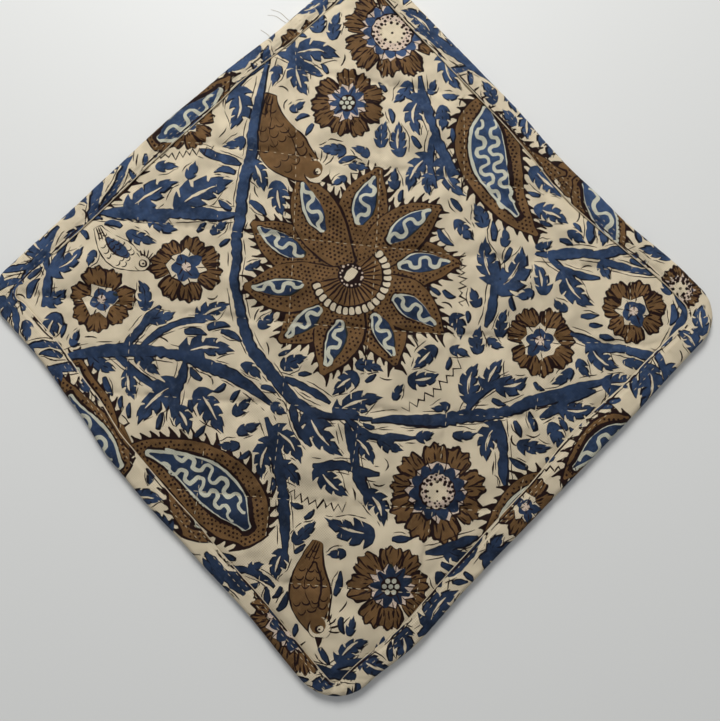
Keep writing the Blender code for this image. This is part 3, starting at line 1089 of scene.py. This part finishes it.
def quilt_grid():
    """An even grid in each cell of the quilting: its counts, and its places across and up."""
    counts = [np.arange((len(lines) - 1) * CELL_STEPS + 1) / CELL_STEPS
              for lines in (UP_LINES, LEVEL_LINES)]
    s, t = np.meshgrid(*counts, indexing="ij")
    across, up = np.zeros_like(s), np.zeros_like(t)

    def place(lines, count, along):
        cell = np.clip(count.astype(int), 0, len(lines) - 2)
        low, high = cell_edges(lines, cell, along)
        return low + (high - low) * (count - cell)

    for _ in range(12):  # the seams bow, so each place depends on the other one
        across, up = place(UP_LINES, s, up), place(LEVEL_LINES, t, across)
    return s, t, across, up


def seam_gap(x, y):
    """How far a drawn point is from the nearest seam."""
    across, up = diagonal(x, y)
    return np.min([abs(across - seam_at(seam, up)) for seam in UP_SEAMS]
                  + [abs(up - seam_at(seam, across)) for seam in LEVEL_SEAMS], 0)


def seam_courses(along):
    """The drawn points of each seam, at these ways along it, and whether it is a level one."""
    for seam in UP_SEAMS:
        yield *squared(seam_at(seam, along), along), False
    for seam in LEVEL_SEAMS:
        yield *squared(along, seam_at(seam, along)), True


def puffed_quilt():
    """The face's height over the quilting grid, puffed up between its seams by a cloth simulation."""
    s, t, across, up = quilt_grid()
    x, y = squared(across, up)
    clear = depths(x, y, flange=True)
    held = PAD_RIM_HIGH + (SEAM_HIGH - PAD_RIM_HIGH) * smooth((clear + 0.4) / 3.4)
    dome = np.sin(np.clip(seam_gap(x, y) / 15, 0, 1) * math.pi / 2) ** 0.75
    start = held + CROWN * 0.8 * dome * np.sin(np.clip(clear / 14, 0, 1) * math.pi / 2)
    inside = clear > -1.5
    number = np.full(s.shape, -1)
    number[inside] = np.arange(inside.sum())
    corners = [number[:-1, :-1], number[1:, :-1], number[1:, 1:], number[:-1, 1:]]
    faces = np.stack(corners, -1).reshape(-1, 4)
    faces = faces[(faces >= 0).all(1)]
    points = np.stack([x[inside], y[inside], start[inside]], 1) * MM
    mesh = bpy.data.meshes.new("quilt_sim")
    mesh.from_pydata(points.tolist(), [], faces.tolist())
    cloth = bpy.data.objects.new("quilt_sim", mesh)
    bpy.context.collection.objects.link(cloth)
    on_seam = (np.round(s * CELL_STEPS) % CELL_STEPS == 0) | (np.round(t * CELL_STEPS) % CELL_STEPS == 0)
    pinned = cloth.vertex_groups.new(name="pinned")
    pinned.add(np.nonzero((on_seam | (clear < 0.8))[inside])[0].tolist(), 1.0, "REPLACE")
    modifier = cloth.modifiers.new("cloth", "CLOTH")
    for key, value in dict(
            quality=6, mass=0.02, tension_stiffness=12, compression_stiffness=12, shear_stiffness=6,
            bending_stiffness=0.02, vertex_group_mass="pinned", use_pressure=True,
            uniform_pressure_force=4, shrink_min=-0.035, shrink_max=-0.035).items():
        setattr(modifier.settings, key, value)
    modifier.settings.effector_weights.gravity = 0
    modifier.point_cache.frame_start, modifier.point_cache.frame_end = 1, SIM_FRAMES
    scene = bpy.context.scene
    for frame_number in range(1, SIM_FRAMES + 1):
        scene.frame_set(frame_number)
    shape = cloth.evaluated_get(bpy.context.evaluated_depsgraph_get()).to_mesh()
    found = np.empty(len(shape.vertices) * 3)
    shape.vertices.foreach_get("co", found)
    scene.frame_set(1)
    bpy.data.objects.remove(cloth)
    height = start.copy()
    height[inside] = np.clip(found[2::3] / MM, start[inside] - 1.2, start[inside] + 2.2)
    return height


QUILT = puffed_quilt()


def sampled(grid, s, t):
    """A grid's value between its points, on a smooth surface through them."""
    place = [np.clip(v * CELL_STEPS, 1, n - 2.001) for v, n in zip((s, t), grid.shape)]
    whole = [p.astype(int) for p in place]

    def weights(f):
        return ((1 - f) ** 3 / 6, (3 * f ** 3 - 6 * f * f + 4) / 6,
                (-3 * f ** 3 + 3 * f * f + 3 * f + 1) / 6, f ** 3 / 6)

    total = 0
    for i, a in enumerate(weights(place[0] - whole[0])):
        for j, b in enumerate(weights(place[1] - whole[1])):
            total = total + a * b * grid[whole[0] + i - 1, whole[1] + j - 1]
    return total


def rough(x, y, seed, size):
    """Smooth noise over the plan, from about -1 to 1."""
    total = 0
    for i in range(5):
        turn = seed * 1.7 + i * 2.4
        ax, ay = math.cos(turn) / size, math.sin(turn) / size
        total = total + np.sin(x * ax * (1 + 0.31 * i) + y * ay * (1 + 0.31 * i) + seed * 3.1 + i
                               + 1.3 * np.sin(x * ay / 1.7 - y * ax / 1.7 + i * i))
    return total / 3


def face_height(x, y):
    """The face's height at drawn points: puffed, with the seams pressed in and small puckers."""
    clear = depths(x, y, flange=True)
    gap = seam_gap(x, y)
    pucker = rough(x, y, 7, 0.85) * np.exp(-gap / 3.2) * smooth(gap / 0.8)
    height = sampled(QUILT, *quilt_place(x, y))
    height = height - SEAM_DEEP * np.exp(-(gap / SEAM_WIDE) ** 2) * smooth(clear / 2)
    height = height + (0.10 * rough(x, y, 3, 3.2) + 0.13 * pucker) * smooth(clear / 4)
    return PAD_RIM_HIGH + (height - PAD_RIM_HIGH) * smooth((clear + 1.5) / 2.0)


def under_height(x, y):
    """The pad's underside: over the back flange at the edge, and on the table inside it."""
    clear = depths(x, y) - BACK_FLANGE - 0.4
    groove = 0.35 * np.exp(-(seam_gap(x, y) / 1.6) ** 2)
    return PAD_RIM_LOW * (1 - smooth(clear / 2.6)) + groove * smooth(clear / 3)


def slope_normals(height, x, y):
    step = 0.35
    dx = (height(x + step, y) - height(x - step, y)) / (2 * step)
    dy = (height(x, y + step) - height(x, y - step)) / (2 * step)
    normals = np.stack([-dx, -dy, np.ones_like(dx)], 1)
    return normals / np.linalg.norm(normals, axis=1)[:, None]


def plate(points):
    return (points[:, :2] / PLATE_SIZE + 0.5) * PLATE


def small_plate(points):
    """The corner of the baked picture that the rim and the underside share."""
    return 0.76 + plate(points) * 0.24 / PLATE


def make_pad(face_list, materials, lining):
    """The filled pad: its printed face, its rim under the binding, and its plain underside."""
    plain = len(materials)
    chains = []
    for _, _, outline in face_list:
        closed = np.stack(squared(*np.array([*outline, outline[0]]).T), 1)
        chains += kept_runs(closed, depths(*closed.T, flange=True) > -PRINT_TUCK)
    fill = grid_points(2.1, *PAD_BOX)
    fill = fill[depths(*fill.T) > PAD_RIM_INSET + 1.2]
    plan, triangles = laid_out(edge_ring(PAD_RIM_INSET, 60, 14), chains, fill)
    middles = plan[triangles].mean(1)
    inks = inks_at(np.stack(diagonal(*middles.T), 1), face_list)
    inks[depths(*middles.T, flange=True) < -PRINT_TUCK] = CREAM
    points = [np.column_stack([plan, face_height(*plan.T)])]
    normals, spots = [slope_normals(face_height, *plan.T)], [plate(plan)]
    faces, inks = [triangles], [inks]
    rows = [boundary(triangles)]
    edge = plan[rows[0]]
    out = np.roll(edge, -1, 0) - np.roll(edge, 1, 0)
    out = np.stack([out[:, 1], -out[:, 0]], 1)
    out /= np.linalg.norm(out, axis=1)[:, None]
    for number, (far, high, tilt) in enumerate(RIM):
        ring = edge + out * far
        side = np.column_stack([out * (1 - abs(tilt)), np.full(len(ring), tilt)])
        points.append(np.column_stack([ring, np.full(len(ring), high)]))
        normals.append(side / np.linalg.norm(side, axis=1)[:, None])
        spots.append(small_plate(ring))
        rows.append(np.arange(len(ring)) + len(plan) + number * len(ring))
        faces += joined(*rows[-2:])
        inks.append(np.full(2 * len(ring), plain))
    fill = grid_points(5.0, *PAD_BOX)
    seams = [np.stack([x + ahead * ROOT_HALF, y + (ahead if level else -ahead) * ROOT_HALF], 1)
             for x, y, level in seam_courses(np.arange(-140, 141, 5.0)) for ahead in (-1.6, 0, 1.6)]
    fill = np.concatenate([fill[seam_gap(*fill.T) > 2.4], *seams])
    below, under = laid_out(edge, [], fill[depths(*fill.T) > PAD_RIM_INSET + 2])
    below = below[len(edge):]
    points.append(np.column_stack([below, under_height(*below.T)]))
    normals.append(-slope_normals(under_height, *below.T))
    spots.append(small_plate(below))
    number = np.concatenate([rows[-1], rows[-1][-1] + 1 + np.arange(len(below))])
    faces.append(number[under[:, ::-1]])
    inks.append(np.full(len(under), plain))
    return make_object("quilted_pad_cloth", np.concatenate(points), np.concatenate(faces),
                       [*materials, lining], *map(np.concatenate, (inks, spots, normals)))


# ---- the binding ----

LANES = 8  # of the strip in its baked picture
inner_edge, outer_edge = [edge_ring(inset, 200, 40) for inset in ("flange", 0.0)]
flange_width = np.linalg.norm(outer_edge - inner_edge, axis=1)
ray = (outer_edge - inner_edge) / flange_width[:, None]
edge_way = np.concatenate([[0], np.cumsum(np.linalg.norm(
    np.diff(np.vstack([outer_edge, outer_edge[:1]]), axis=0), axis=1))])
STRIP_LONG = edge_way[-1]
FOLD_LONG = math.pi * math.sqrt((FOLD_DEPTH ** 2 + (BINDING_HIGH / 2) ** 2) / 2)
JOIN_MARGIN = 1.2  # the print's outlines stop this far from where the strip's ends meet
TURNED_IN = 0.28  # how far the strip's edges are folded under
EDGE_STEPS = 431  # of the flat strip's long edges
WIDEST_STRIP = 28.0
TINY = 1e-3
BATCH = 1500  # how many points are compared with the whole edge at a time


def round_strip(values, way):
    """A value given all round the edge, at this way along the strip."""
    closed = np.concatenate([values, values[:1]])
    if closed.ndim == 1:
        return np.interp(way, edge_way, closed)
    return np.stack([np.interp(way, edge_way, column) for column in closed.T], -1)


def outwards(way):
    """The direction straight out from the pad, at this way along the strip."""
    direction = round_strip(ray, way)
    return direction / np.linalg.norm(direction, axis=-1)[..., None]


def mirror_line(way):
    """How far out on the strip its print starts again, backwards, for the back flange."""
    return round_strip(flange_width, way) + 2.0


def strip_to_plan(way, far):
    """The print's drawn point, for a point way along the strip and far out from its free edge."""
    turn_back = mirror_line(way)
    far = np.where(far > turn_back, 2 * turn_back - far, far)
    return round_strip(inner_edge, way) + outwards(way) * far[..., None]


def plan_to_strip(points):
    """The other way, for drawn points outside the binding's free edge."""
    ways, fars = [], []
    for some in np.array_split(points, max(1, len(points) // BATCH)):
        delta = some[:, None, :] - inner_edge[None]
        dot = (delta * ray[None]).sum(2)
        cross = delta[:, :, 0] * ray[None, :, 1] - delta[:, :, 1] * ray[None, :, 0]
        nearest = np.hypot(cross, np.minimum(dot + 3, 0) * 3).argmin(1)
        index = np.arange(len(some))
        best = cross[index, nearest]
        before, after = nearest - 1, (nearest + 1) % len(ray)
        other = np.where(best * cross[index, after] < 0, after, before)
        share = best / np.where(best == cross[index, other], 1, best - cross[index, other])
        share = np.clip(share, 0, 1)
        start = edge_way[nearest]
        end = np.where(other == after, edge_way[nearest + 1], edge_way[before % len(ray)])
        ways.append(start + (end - start) * share)
        fars.append(dot[index, nearest] + (dot[index, other] - dot[index, nearest]) * share)
    return np.concatenate(ways), np.concatenate(fars)


def strip_width(way):
    """The whole folded strip's width, from its free edge in front to the one behind."""
    return (round_strip(flange_width, way) + FOLD_LONG + BACK_FLANGE - 2 * FOLD_DEPTH
            + 0.35 * np.sin(way / 17.0))


def strip_surface(way, far, inner=False):
    """The binding's outer or inner surface, at points along and across the strip."""
    wide = round_strip(flange_width, way)
    fold_start = wide - FOLD_DEPTH
    fold_end = fold_start + FOLD_LONG
    stretches = [far < fold_start, far > fold_end]  # the front flange and the back one
    pucker = rough(way, far * 0.45, 5, 1.5) * 0.14 + rough(way, far, 8, 6.0) * 0.16
    # The front flange swells a little between the stitches at its free edge and the fold.
    swell = np.sin(np.clip(far / np.maximum(fold_start, 1), 0, 1) * math.pi) * 0.35
    groove = 0.30 * np.exp(-((far - 1.7) / 0.55) ** 2)
    high = BINDING_HIGH - 0.28 * (1 - smooth(far / 3.0)) + swell - groove + pucker
    angle = (0.5 - np.clip((far - fold_start) / FOLD_LONG, 0, 1)) * math.pi
    fold_high = BINDING_HIGH / 2 * (1 + np.sin(angle)) + pucker * np.clip(np.sin(angle) + 0.3, 0, 1)
    inset = np.select(stretches, [wide - far, FOLD_DEPTH + far - fold_end],
                      FOLD_DEPTH * (1 - np.cos(angle)))
    height = np.select(stretches, [high, 0.0], fold_high)
    if inner:
        inset = inset + BINDING_THICK * np.select(stretches, [0.0, 0.0], np.cos(angle))
        height = height + BINDING_THICK * np.select(stretches, [-1.0, 1.0], -np.sin(angle))
    return np.column_stack([round_strip(outer_edge, way) - outwards(way) * inset[..., None], height])


def strip_normals(way, far):
    step = 0.3
    along = (strip_surface((way + step) % STRIP_LONG, far)
             - strip_surface((way - step) % STRIP_LONG, far))
    across = strip_surface(way, far + step) - strip_surface(way, far - step)
    normals = np.cross(across, along)
    return normals / np.linalg.norm(normals, axis=1)[:, None]


def strip_chains(strip_list):
    """The print's outlines on the flat strip: once for its front, and mirrored for its back."""
    chains = []
    for _, _, outline in strip_list:
        way, far = plan_to_strip(np.stack(squared(*np.array([*outline, outline[0]]).T), 1))
        turn_back = mirror_line(way)
        mirrored = 2 * turn_back - far
        on_strip = (way > JOIN_MARGIN) & (way < STRIP_LONG - JOIN_MARGIN) & (far < turn_back + 0.05)
        in_front, behind = far > 0.15, (mirrored < strip_width(way) - 0.15) & (far > 0)
        for out, good in ((far, in_front), (mirrored, behind)):
            chains += kept_runs(zip(way, out), good & on_strip, leap=4)
    return chains


def strip_fill(spacing, left, low, high, clear):
    """Points all over the flat strip, clear of its edges."""
    fill = grid_points(spacing, (left, low), (STRIP_LONG - left, high))
    return fill[fill[:, 1] < strip_width(fill[:, 0]) - clear]


def make_binding(strip_list, materials, inside):
    """The binding: one strip of the same cloth, folded over the edge and turned in."""
    ways = np.linspace(0, STRIP_LONG, EDGE_STEPS)
    wide = strip_width(ways)
    steps = int(wide[0] / 0.9)
    ends = np.arange(1, steps) * wide[0] / steps
    ring = np.vstack([
        np.column_stack([ways, 0 * ways]), np.column_stack([0 * ends + STRIP_LONG, ends]),
        np.column_stack([ways, wide])[::-1], np.column_stack([0 * ends, ends])[::-1]])
    fill = strip_fill(1.3, 1.2, 1.0, wide.max(), 0.9)
    plan, triangles = laid_out(ring, strip_chains(strip_list), fill)
    numbers = inks_at(np.stack(diagonal(*strip_to_plan(*plan[triangles].mean(1).T).T), 1), strip_list)
    loop = boundary(triangles)
    edge = plan[loop]
    below, flat = laid_out(edge, [], strip_fill(4.0, 3, 3, wide.max(), 2.5))
    outer, inner = strip_surface(*plan.T), strip_surface(*below.T, inner=True)
    outward = round_strip(ray, edge[:, 0])
    middle = (strip_surface(*edge.T) + strip_surface(*edge.T, inner=True)) / 2
    middle[:, :2] -= TURNED_IN * outward
    points = np.concatenate([outer, inner, middle])
    places = np.concatenate([plan, below, edge])
    kinds = np.repeat([0, 1, 2], [len(plan), len(below), len(edge)])
    normals = np.concatenate([strip_normals(*plan.T), -strip_normals(*below.T),
                              np.column_stack([-outward, 0 * edge[:, 0]])])
    faces = [triangles[:, ::-1], flat + len(plan)]
    inks = [numbers, np.full(len(flat), len(materials))]
    # The two surfaces are joined round the edge, but not where the strip's ends meet.
    join = (edge[:, 0] < TINY) | (edge[:, 0] > STRIP_LONG - TINY)
    keep = ~(join & np.roll(join, -1))
    rows = [loop, len(plan) + len(below) + np.arange(len(edge)), len(plan) + np.arange(len(edge))]
    for upper, lower in zip(rows, rows[1:]):
        for face in joined(upper, lower):
            faces.append(face[keep][:, [0, 2, 1]])
            inks.append(np.full(keep.sum(), CREAM))
    faces, inks = np.concatenate(faces), np.concatenate(inks)
    corners = places[faces]
    lane = np.minimum(corners[:, :, 0].mean(1) / STRIP_LONG * LANES, LANES - 1).astype(int)
    along = corners[:, :, 0] / STRIP_LONG * LANES - lane[:, None]
    aside = (corners[:, :, 1] / WIDEST_STRIP + 0.02 + lane[:, None]) / LANES
    spots = np.stack([0.02 + 0.96 * along, aside], 2)
    # The strip's ends meet: the points of its far end become those of its near end.
    near = np.nonzero(places[:, 0] < TINY)[0]
    for number in np.nonzero(places[:, 0] > STRIP_LONG - TINY)[0]:
        gaps = abs(places[near, 1] - places[number, 1]) + 99 * (kinds[near] != kinds[number])
        faces[faces == number] = near[gaps.argmin()]
    sound = (faces != np.roll(faces, 1, 1)).all(1)
    return make_object("edge_binding_cloth", points, faces[sound], [*materials, inside],
                       inks[sound], spots[sound].reshape(-1, 2), normals)


# ---- the sewing ----

STITCH_PITCH, STITCH_LONG, THREAD_RADIUS = 3.2, 2.1, 0.12
SIDES = 6  # of a stitch
FIBRE_RADIUS, FIBRE_SIDES = 0.07, 5
# Along a stitch: the share of its length, its thickness, and how high it lies.
STITCH = np.array([(0.0, 0.25, -0.42), (0.06, 0.75, -0.12), (0.25, 1.0, 0.05), (0.5, 1.05, 0.10),
                   (0.75, 1.0, 0.05), (0.94, 0.75, -0.12), (1.0, 0.25, -0.42)]).T


def tube_faces(rings, sides, first=0):
    """The sides and the two ends of a closed tube of this many rings of points."""
    faces = []
    for i in range(rings - 1):
        low, high = first + i * sides, first + (i + 1) * sides
        for side in range(sides):
            after = (side + 1) % sides
            faces.append((low + side, high + side, high + after, low + after))
    last = first + (rings - 1) * sides
    return [*faces, tuple(range(first, first + sides)), tuple(range(last, last + sides))[::-1]]


def stitch_row(line, height, pitch=STITCH_PITCH, long=STITCH_LONG, radius=THREAD_RADIUS, seed=0,
               down=False):
    """Hand-even running stitches along a drawn line: points and faces of small capsules."""
    way = np.concatenate([[0], np.cumsum(np.linalg.norm(np.diff(line, axis=0), axis=1))])
    shares, thick, rise = STITCH
    points, faces = [], []
    start = pitch * (0.3 + 0.2 * noise(seed * 1.3, 2))
    while start + long < way[-1]:
        size = long * (1 + 0.13 * noise(start * 0.7 + seed, 17))
        wobble = 0.14 * noise(start * 0.9 + seed, 19)
        x, y = [np.interp(start + size * shares, way, column) for column in line.T]
        direction = np.array([x[-1] - x[0], y[-1] - y[0]])
        direction /= np.linalg.norm(direction) or 1
        aside = np.array([-direction[1], direction[0]])
        x, y = x + aside[0] * wobble, y + aside[1] * wobble
        z = height(x, y) + (-1 if down else 1) * (rise + radius * 0.1)
        faces += tube_faces(len(shares), SIDES, len(points))
        for px, py, pz, r in zip(x, y, z, thick * radius):
            for side in range(SIDES):
                out, up = polar(0, 0, r, math.tau * side / SIDES)
                points.append((px + aside[0] * out, py + aside[1] * out, pz + up))
        start += pitch * (1 + 0.06 * noise(start + seed, 23))
    return points, faces


def sewn(name, rows, thread):
    """One object of several rows of stitches."""
    points, faces = [], []
    for row_points, row_faces in rows:
        faces += [tuple(i + len(points) for i in face) for face in row_faces]
        points += row_points
    return make_object(name, points, faces, [thread])


def quilting_rows(height, down=False):
    rows = []
    for number, (x, y, _) in enumerate(seam_courses(np.arange(-145, 145.5, 1.0))):
        clear = depths(x, y) - BACK_FLANGE - 3 if down else depths(x, y, flange=True)
        inside = clear > 0.3
        if inside.sum() > 6:
            rows.append(stitch_row(np.stack([x, y], 1)[inside], height, seed=number * 5.3, down=down))
    return rows


def binding_rows():
    """Two rows of stitches along the binding's free edge, the second one a little farther out."""
    rows = []
    for inset, seed in ((1.5, 3.0), (3.6, 8.0)):
        way = np.arange(3.0, STRIP_LONG - 3.0, 0.5)
        far = inset + 0.5 * np.sin(way / 23.0 + seed) + 0.25 * np.sin(way / 7.1)
        line = strip_surface(way, far)

        def height(x, y, line=line):
            near = [np.argmin((line[:, 0] - a) ** 2 + (line[:, 1] - b) ** 2) for a, b in zip(x, y)]
            return line[near, 2]

        rows.append(stitch_row(line[:, :2], height, pitch=2.7, long=1.6, radius=0.085, seed=seed))
    return rows


def loose_end(points):
    """A fibre that has come out of the edge and lies on the table."""
    run = smooth_line(points, 0.8)
    found = []
    for i, spot in enumerate(run):
        x, y = squared(*spot)
        height = FIBRE_RADIUS + 0.05 + 1.7 * max(0.0, 1 - i / (len(run) - 1) / 0.35) ** 2
        for side in range(FIBRE_SIDES):
            out, up = polar(0, 0, FIBRE_RADIUS, math.tau * side / FIBRE_SIDES)
            found.append((x + out, y + out, height + up))
    return found, tube_faces(len(run), FIBRE_SIDES)


LOOSE_ENDS = [[(-27, 123.4), (-30.6, 125.6), (-34, 128.6), (-38, 130)],
              [(-28.4, 122.6), (-32, 124.4), (-36, 127), (-39.4, 127.4)],
              [(-36.6, 115.6), (-39, 118.4), (-42, 120.4)]]

# ---- looks ----

PAINTED_SHADE_MIDDLE = (*[mm / 1000 for mm in squared(0, -82)], 0.003)  # the middle of a painted shade near the bottom corner, where the cloth is painted darkest
WEAVE_DARK, WEAVE_LIGHT = 0.65, 1.06  # how bright the cloth is between its threads and on them


def linear(*rgb):
    return tuple(((c / 255 + 0.055) / 1.055) ** 2.4 if c > 10 else c / 255 / 12.92 for c in rgb)


def node_adder(tree):
    """A function that adds a node, with its inputs' values or links, and returns one output."""
    def add(kind, inputs=(), output=0, **settings):
        node = tree.nodes.new(kind)
        for key, value in settings.items():
            setattr(node, key, value)
        for key, value in dict(inputs).items():
            if isinstance(value, bpy.types.NodeSocket):
                tree.links.new(value, node.inputs[key])
            else:
                node.inputs[key].default_value = value
        return node.outputs[output]
    return add


def new_material(name, colour=(1, 1, 1), **inputs):
    """A material, its shader, and a function that adds nodes to it."""
    material = bpy.data.materials.new(name)
    material.use_nodes = True
    shader = material.node_tree.nodes["Principled BSDF"]
    shader.inputs["Base Color"].default_value = (*colour, 1)
    for key, value in inputs.items():
        shader.inputs[key.replace("_", " ")].default_value = value
    return material, shader, node_adder(material.node_tree)


def cloth_material(name, colour, worn, wear, depth, near=0.88, far=1.06):
    """Plain-woven cotton, dyed unevenly: the colour thins to another in specks and patches.

    near and far are how bright it is painted at the middle of the painted shade and farthest from there.
    """
    material, shader, add = new_material(
        name, Roughness=0.75, Sheen_Weight=0.02, Sheen_Roughness=0.5, Specular_IOR_Level=0.12)
    place = add("ShaderNodeTexCoord", output="Object")

    def noise_at(scale, detail, roughness):
        return add("ShaderNodeTexNoise", {"Vector": place, "Scale": scale, "Detail": detail,
                                          "Roughness": roughness}, "Fac")

    def ramp(value, low, high, start=0.0, end=1.0, kind="SMOOTHSTEP"):
        return add("ShaderNodeMapRange", {"Value": value, "From Min": low, "From Max": high,
                                          "To Min": start, "To Max": end}, "Result",
                   interpolation_type=kind)

    def mix(share, first, second, blend="MIX"):
        return add("ShaderNodeMix", {0: share, 6: first, 7: second}, 2, data_type="RGBA",
                   blend_type=blend)

    def maths(operation, first, second):
        return add("ShaderNodeMath", {0: first, 1: second}, operation=operation)

    def bump(height, strength, distance, normal=None):
        inputs = {"Height": height, "Strength": strength, "Distance": distance}
        if normal:
            inputs["Normal"] = normal
        return add("ShaderNodeBump", inputs, "Normal")

    # Patches of more and less dye, then fine specks where the block missed, then single threads.
    dyed = mix(ramp(noise_at(150, 5, 0.65), 0.32, 0.68), (*[c * (1 - depth) for c in colour], 1),
               (*[min(1, c * (1 + depth)) for c in colour], 1))
    missed = maths("MULTIPLY", ramp(noise_at(900, 3, 0.65), 0.50, 0.78), wear)
    dyed = mix(missed, dyed, (*worn, 1))
    weave = maths("MAXIMUM", *[
        add("ShaderNodeTexWave", {"Vector": place, "Scale": 440.0, "Distortion": 1.2, "Detail": 2.0,
                                  "Detail Scale": 0.6}, "Fac", bands_direction=direction)
        for direction in ("X", "Y")])
    # Painted shade: the colour is painted darker towards a place near the bottom corner, by its distance
    # from there, and lighter far from it.
    away = add("ShaderNodeVectorMath", {0: place, 1: PAINTED_SHADE_MIDDLE}, "Value", operation="DISTANCE")
    shade = maths("MULTIPLY", ramp(weave, 0.0, 1.0, WEAVE_DARK, WEAVE_LIGHT, "LINEAR"),
                  ramp(away, 0.0, 0.23, near, far))
    tint = add("ShaderNodeCombineColor", {0: shade, 1: shade, 2: shade})
    links = material.node_tree.links
    links.new(mix(1.0, dyed, tint, "MULTIPLY"), shader.inputs["Base Color"])
    links.new(bump(noise_at(160.0, 5.0, 0.6), 0.30, 0.0009, bump(weave, 0.35, 0.00012)),
              shader.inputs["Normal"])
    return material


CREAM_CLOTH = (linear(212, 197, 168), linear(184, 168, 136), 0.30, 0.07)
# Name, colour, the colour it wears to, how much it is worn, how uneven its depth is; the blue also
# has how bright it is painted at the middle of the painted shade and farthest from there.
INKS = {
    CREAM: ("cream", *CREAM_CLOTH),
    BLUE: ("indigo", linear(38, 53, 77), linear(92, 103, 114), 0.30, 0.42, 0.55, 1.75),
    BROWN: ("brown", linear(105, 77, 46), linear(144, 116, 78), 0.30, 0.24),
    MAROON: ("maroon", linear(30, 14, 11), linear(80, 50, 38), 0.26, 0.25),
    OLIVE: ("dark_green", linear(34, 38, 34), linear(76, 72, 54), 0.30, 0.25),
    PALE: ("pale_grey", linear(192, 190, 170), linear(160, 158, 140), 0.35, 0.08),
    PINK: ("pink", linear(204, 184, 164), linear(156, 118, 112), 0.50, 0.10),
    NAVY: ("blue_black", linear(17, 18, 28), linear(54, 56, 68), 0.22, 0.25),
}
ink_materials = [cloth_material("printed_cotton_" + INKS[ink][0], *INKS[ink][1:])
                 for ink in sorted(INKS)]
plain_cloth = cloth_material("plain_cotton", *CREAM_CLOTH)

thread, shader, add = new_material("sewing_thread", linear(196, 180, 146), Roughness=0.7,
                                   Sheen_Weight=0.2)
twist = add("ShaderNodeTexWave", {"Vector": add("ShaderNodeTexCoord", output="Object"), "Scale": 900},
            "Fac")
bumps = add("ShaderNodeBump", {"Height": twist, "Strength": 0.4, "Distance": 0.0001}, "Normal")
thread.node_tree.links.new(bumps, shader.inputs["Normal"])

# ---- the object ----

FACE_REACH = 146.0  # the face's print ends before this far out, across and up added together
STRIP_REACH = 130.0  # and the binding's begins after this


def reach(outline):
    return [abs(x) + abs(y) for x, y in outline]


cloth_print()
face_list = [item for item in PRINT if min(reach(item[2])) < FACE_REACH]
# The binding is cut from the same cloth, but lies on it the other way round.
PRINT[:] = [(layer, ink, [(-x, -y) for x, y in outline]) for layer, ink, outline in PRINT
            if max(reach(outline)) > STRIP_REACH]
# A broken dark line is painted beside the binding's free edge, as painted shade where the binding's edge
# lies on the face.
shade_line_way = np.arange(3.0, STRIP_LONG - 3.0, 1.1)
shade_line_points = strip_to_plan(shade_line_way, 0.75 + 0.25 * np.sin(shade_line_way / 9.0))
broken(list(zip(*diagonal(*shade_line_points.T))), 0.55, 13, 5)

pad = make_pad(face_list, ink_materials, plain_cloth)
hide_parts("quilted_pad")

binding = make_binding(PRINT, ink_materials, plain_cloth)
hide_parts("edge_binding")

face_thread = sewn("quilting_thread_face", quilting_rows(face_height), thread)
back_thread = sewn("quilting_thread_back", quilting_rows(under_height, down=True), thread)
edge_thread = sewn("binding_thread", binding_rows() + [loose_end(points) for points in LOOSE_ENDS],
                   thread)
for piece in (pad, binding, face_thread, back_thread, edge_thread):
    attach(piece, "root")

# ---- the table, the light and the camera ----

bpy.ops.mesh.primitive_plane_add(size=3.0, location=(0, 0, 0))
table = bpy.context.object
table.name = "table"
table.data.materials.append(new_material("pale_table", linear(222, 222, 218), Roughness=0.55)[0])

scene = bpy.context.scene
scene.view_settings.view_transform = "Standard"
scene.world = bpy.data.worlds.new("room")
scene.world.use_nodes = True
background = scene.world.node_tree.nodes["Background"]
background.inputs["Color"].default_value = (0.93, 0.95, 1.0, 1)
background.inputs["Strength"].default_value = 0.34

light = bpy.data.lights.new("window", "AREA")
light.shape = "DISK"
light.size = 0.45
light.energy = 9.4
window = bpy.data.objects.new("window", light)
window.location = (-0.61, 0.435, 0.75)
window.rotation_euler = (-window.location).to_track_quat("-Z", "Y").to_euler()
bpy.context.collection.objects.link(window)

camera = bpy.data.objects.new("camera", bpy.data.cameras.new("camera"))
bpy.context.collection.objects.link(camera)
camera.data.sensor_width = 36
camera.data.lens = 36
camera.data.clip_start = 0.01
sight = Vector((-0.0955, 0.0996, -0.9904)).normalized()
right = Vector((0.6847, 0.7287, 0.0072)).normalized()
right = (right - right.dot(sight) * sight).normalized()
place = Vector((45.44 - MIDDLE[0], -39.94 - MIDDLE[1], 285.72)) * MM
camera.matrix_world = Matrix.Translation(place) @ Matrix(
    (right, right.cross(sight), -sight)).transposed().to_4x4()
scene.camera = camera
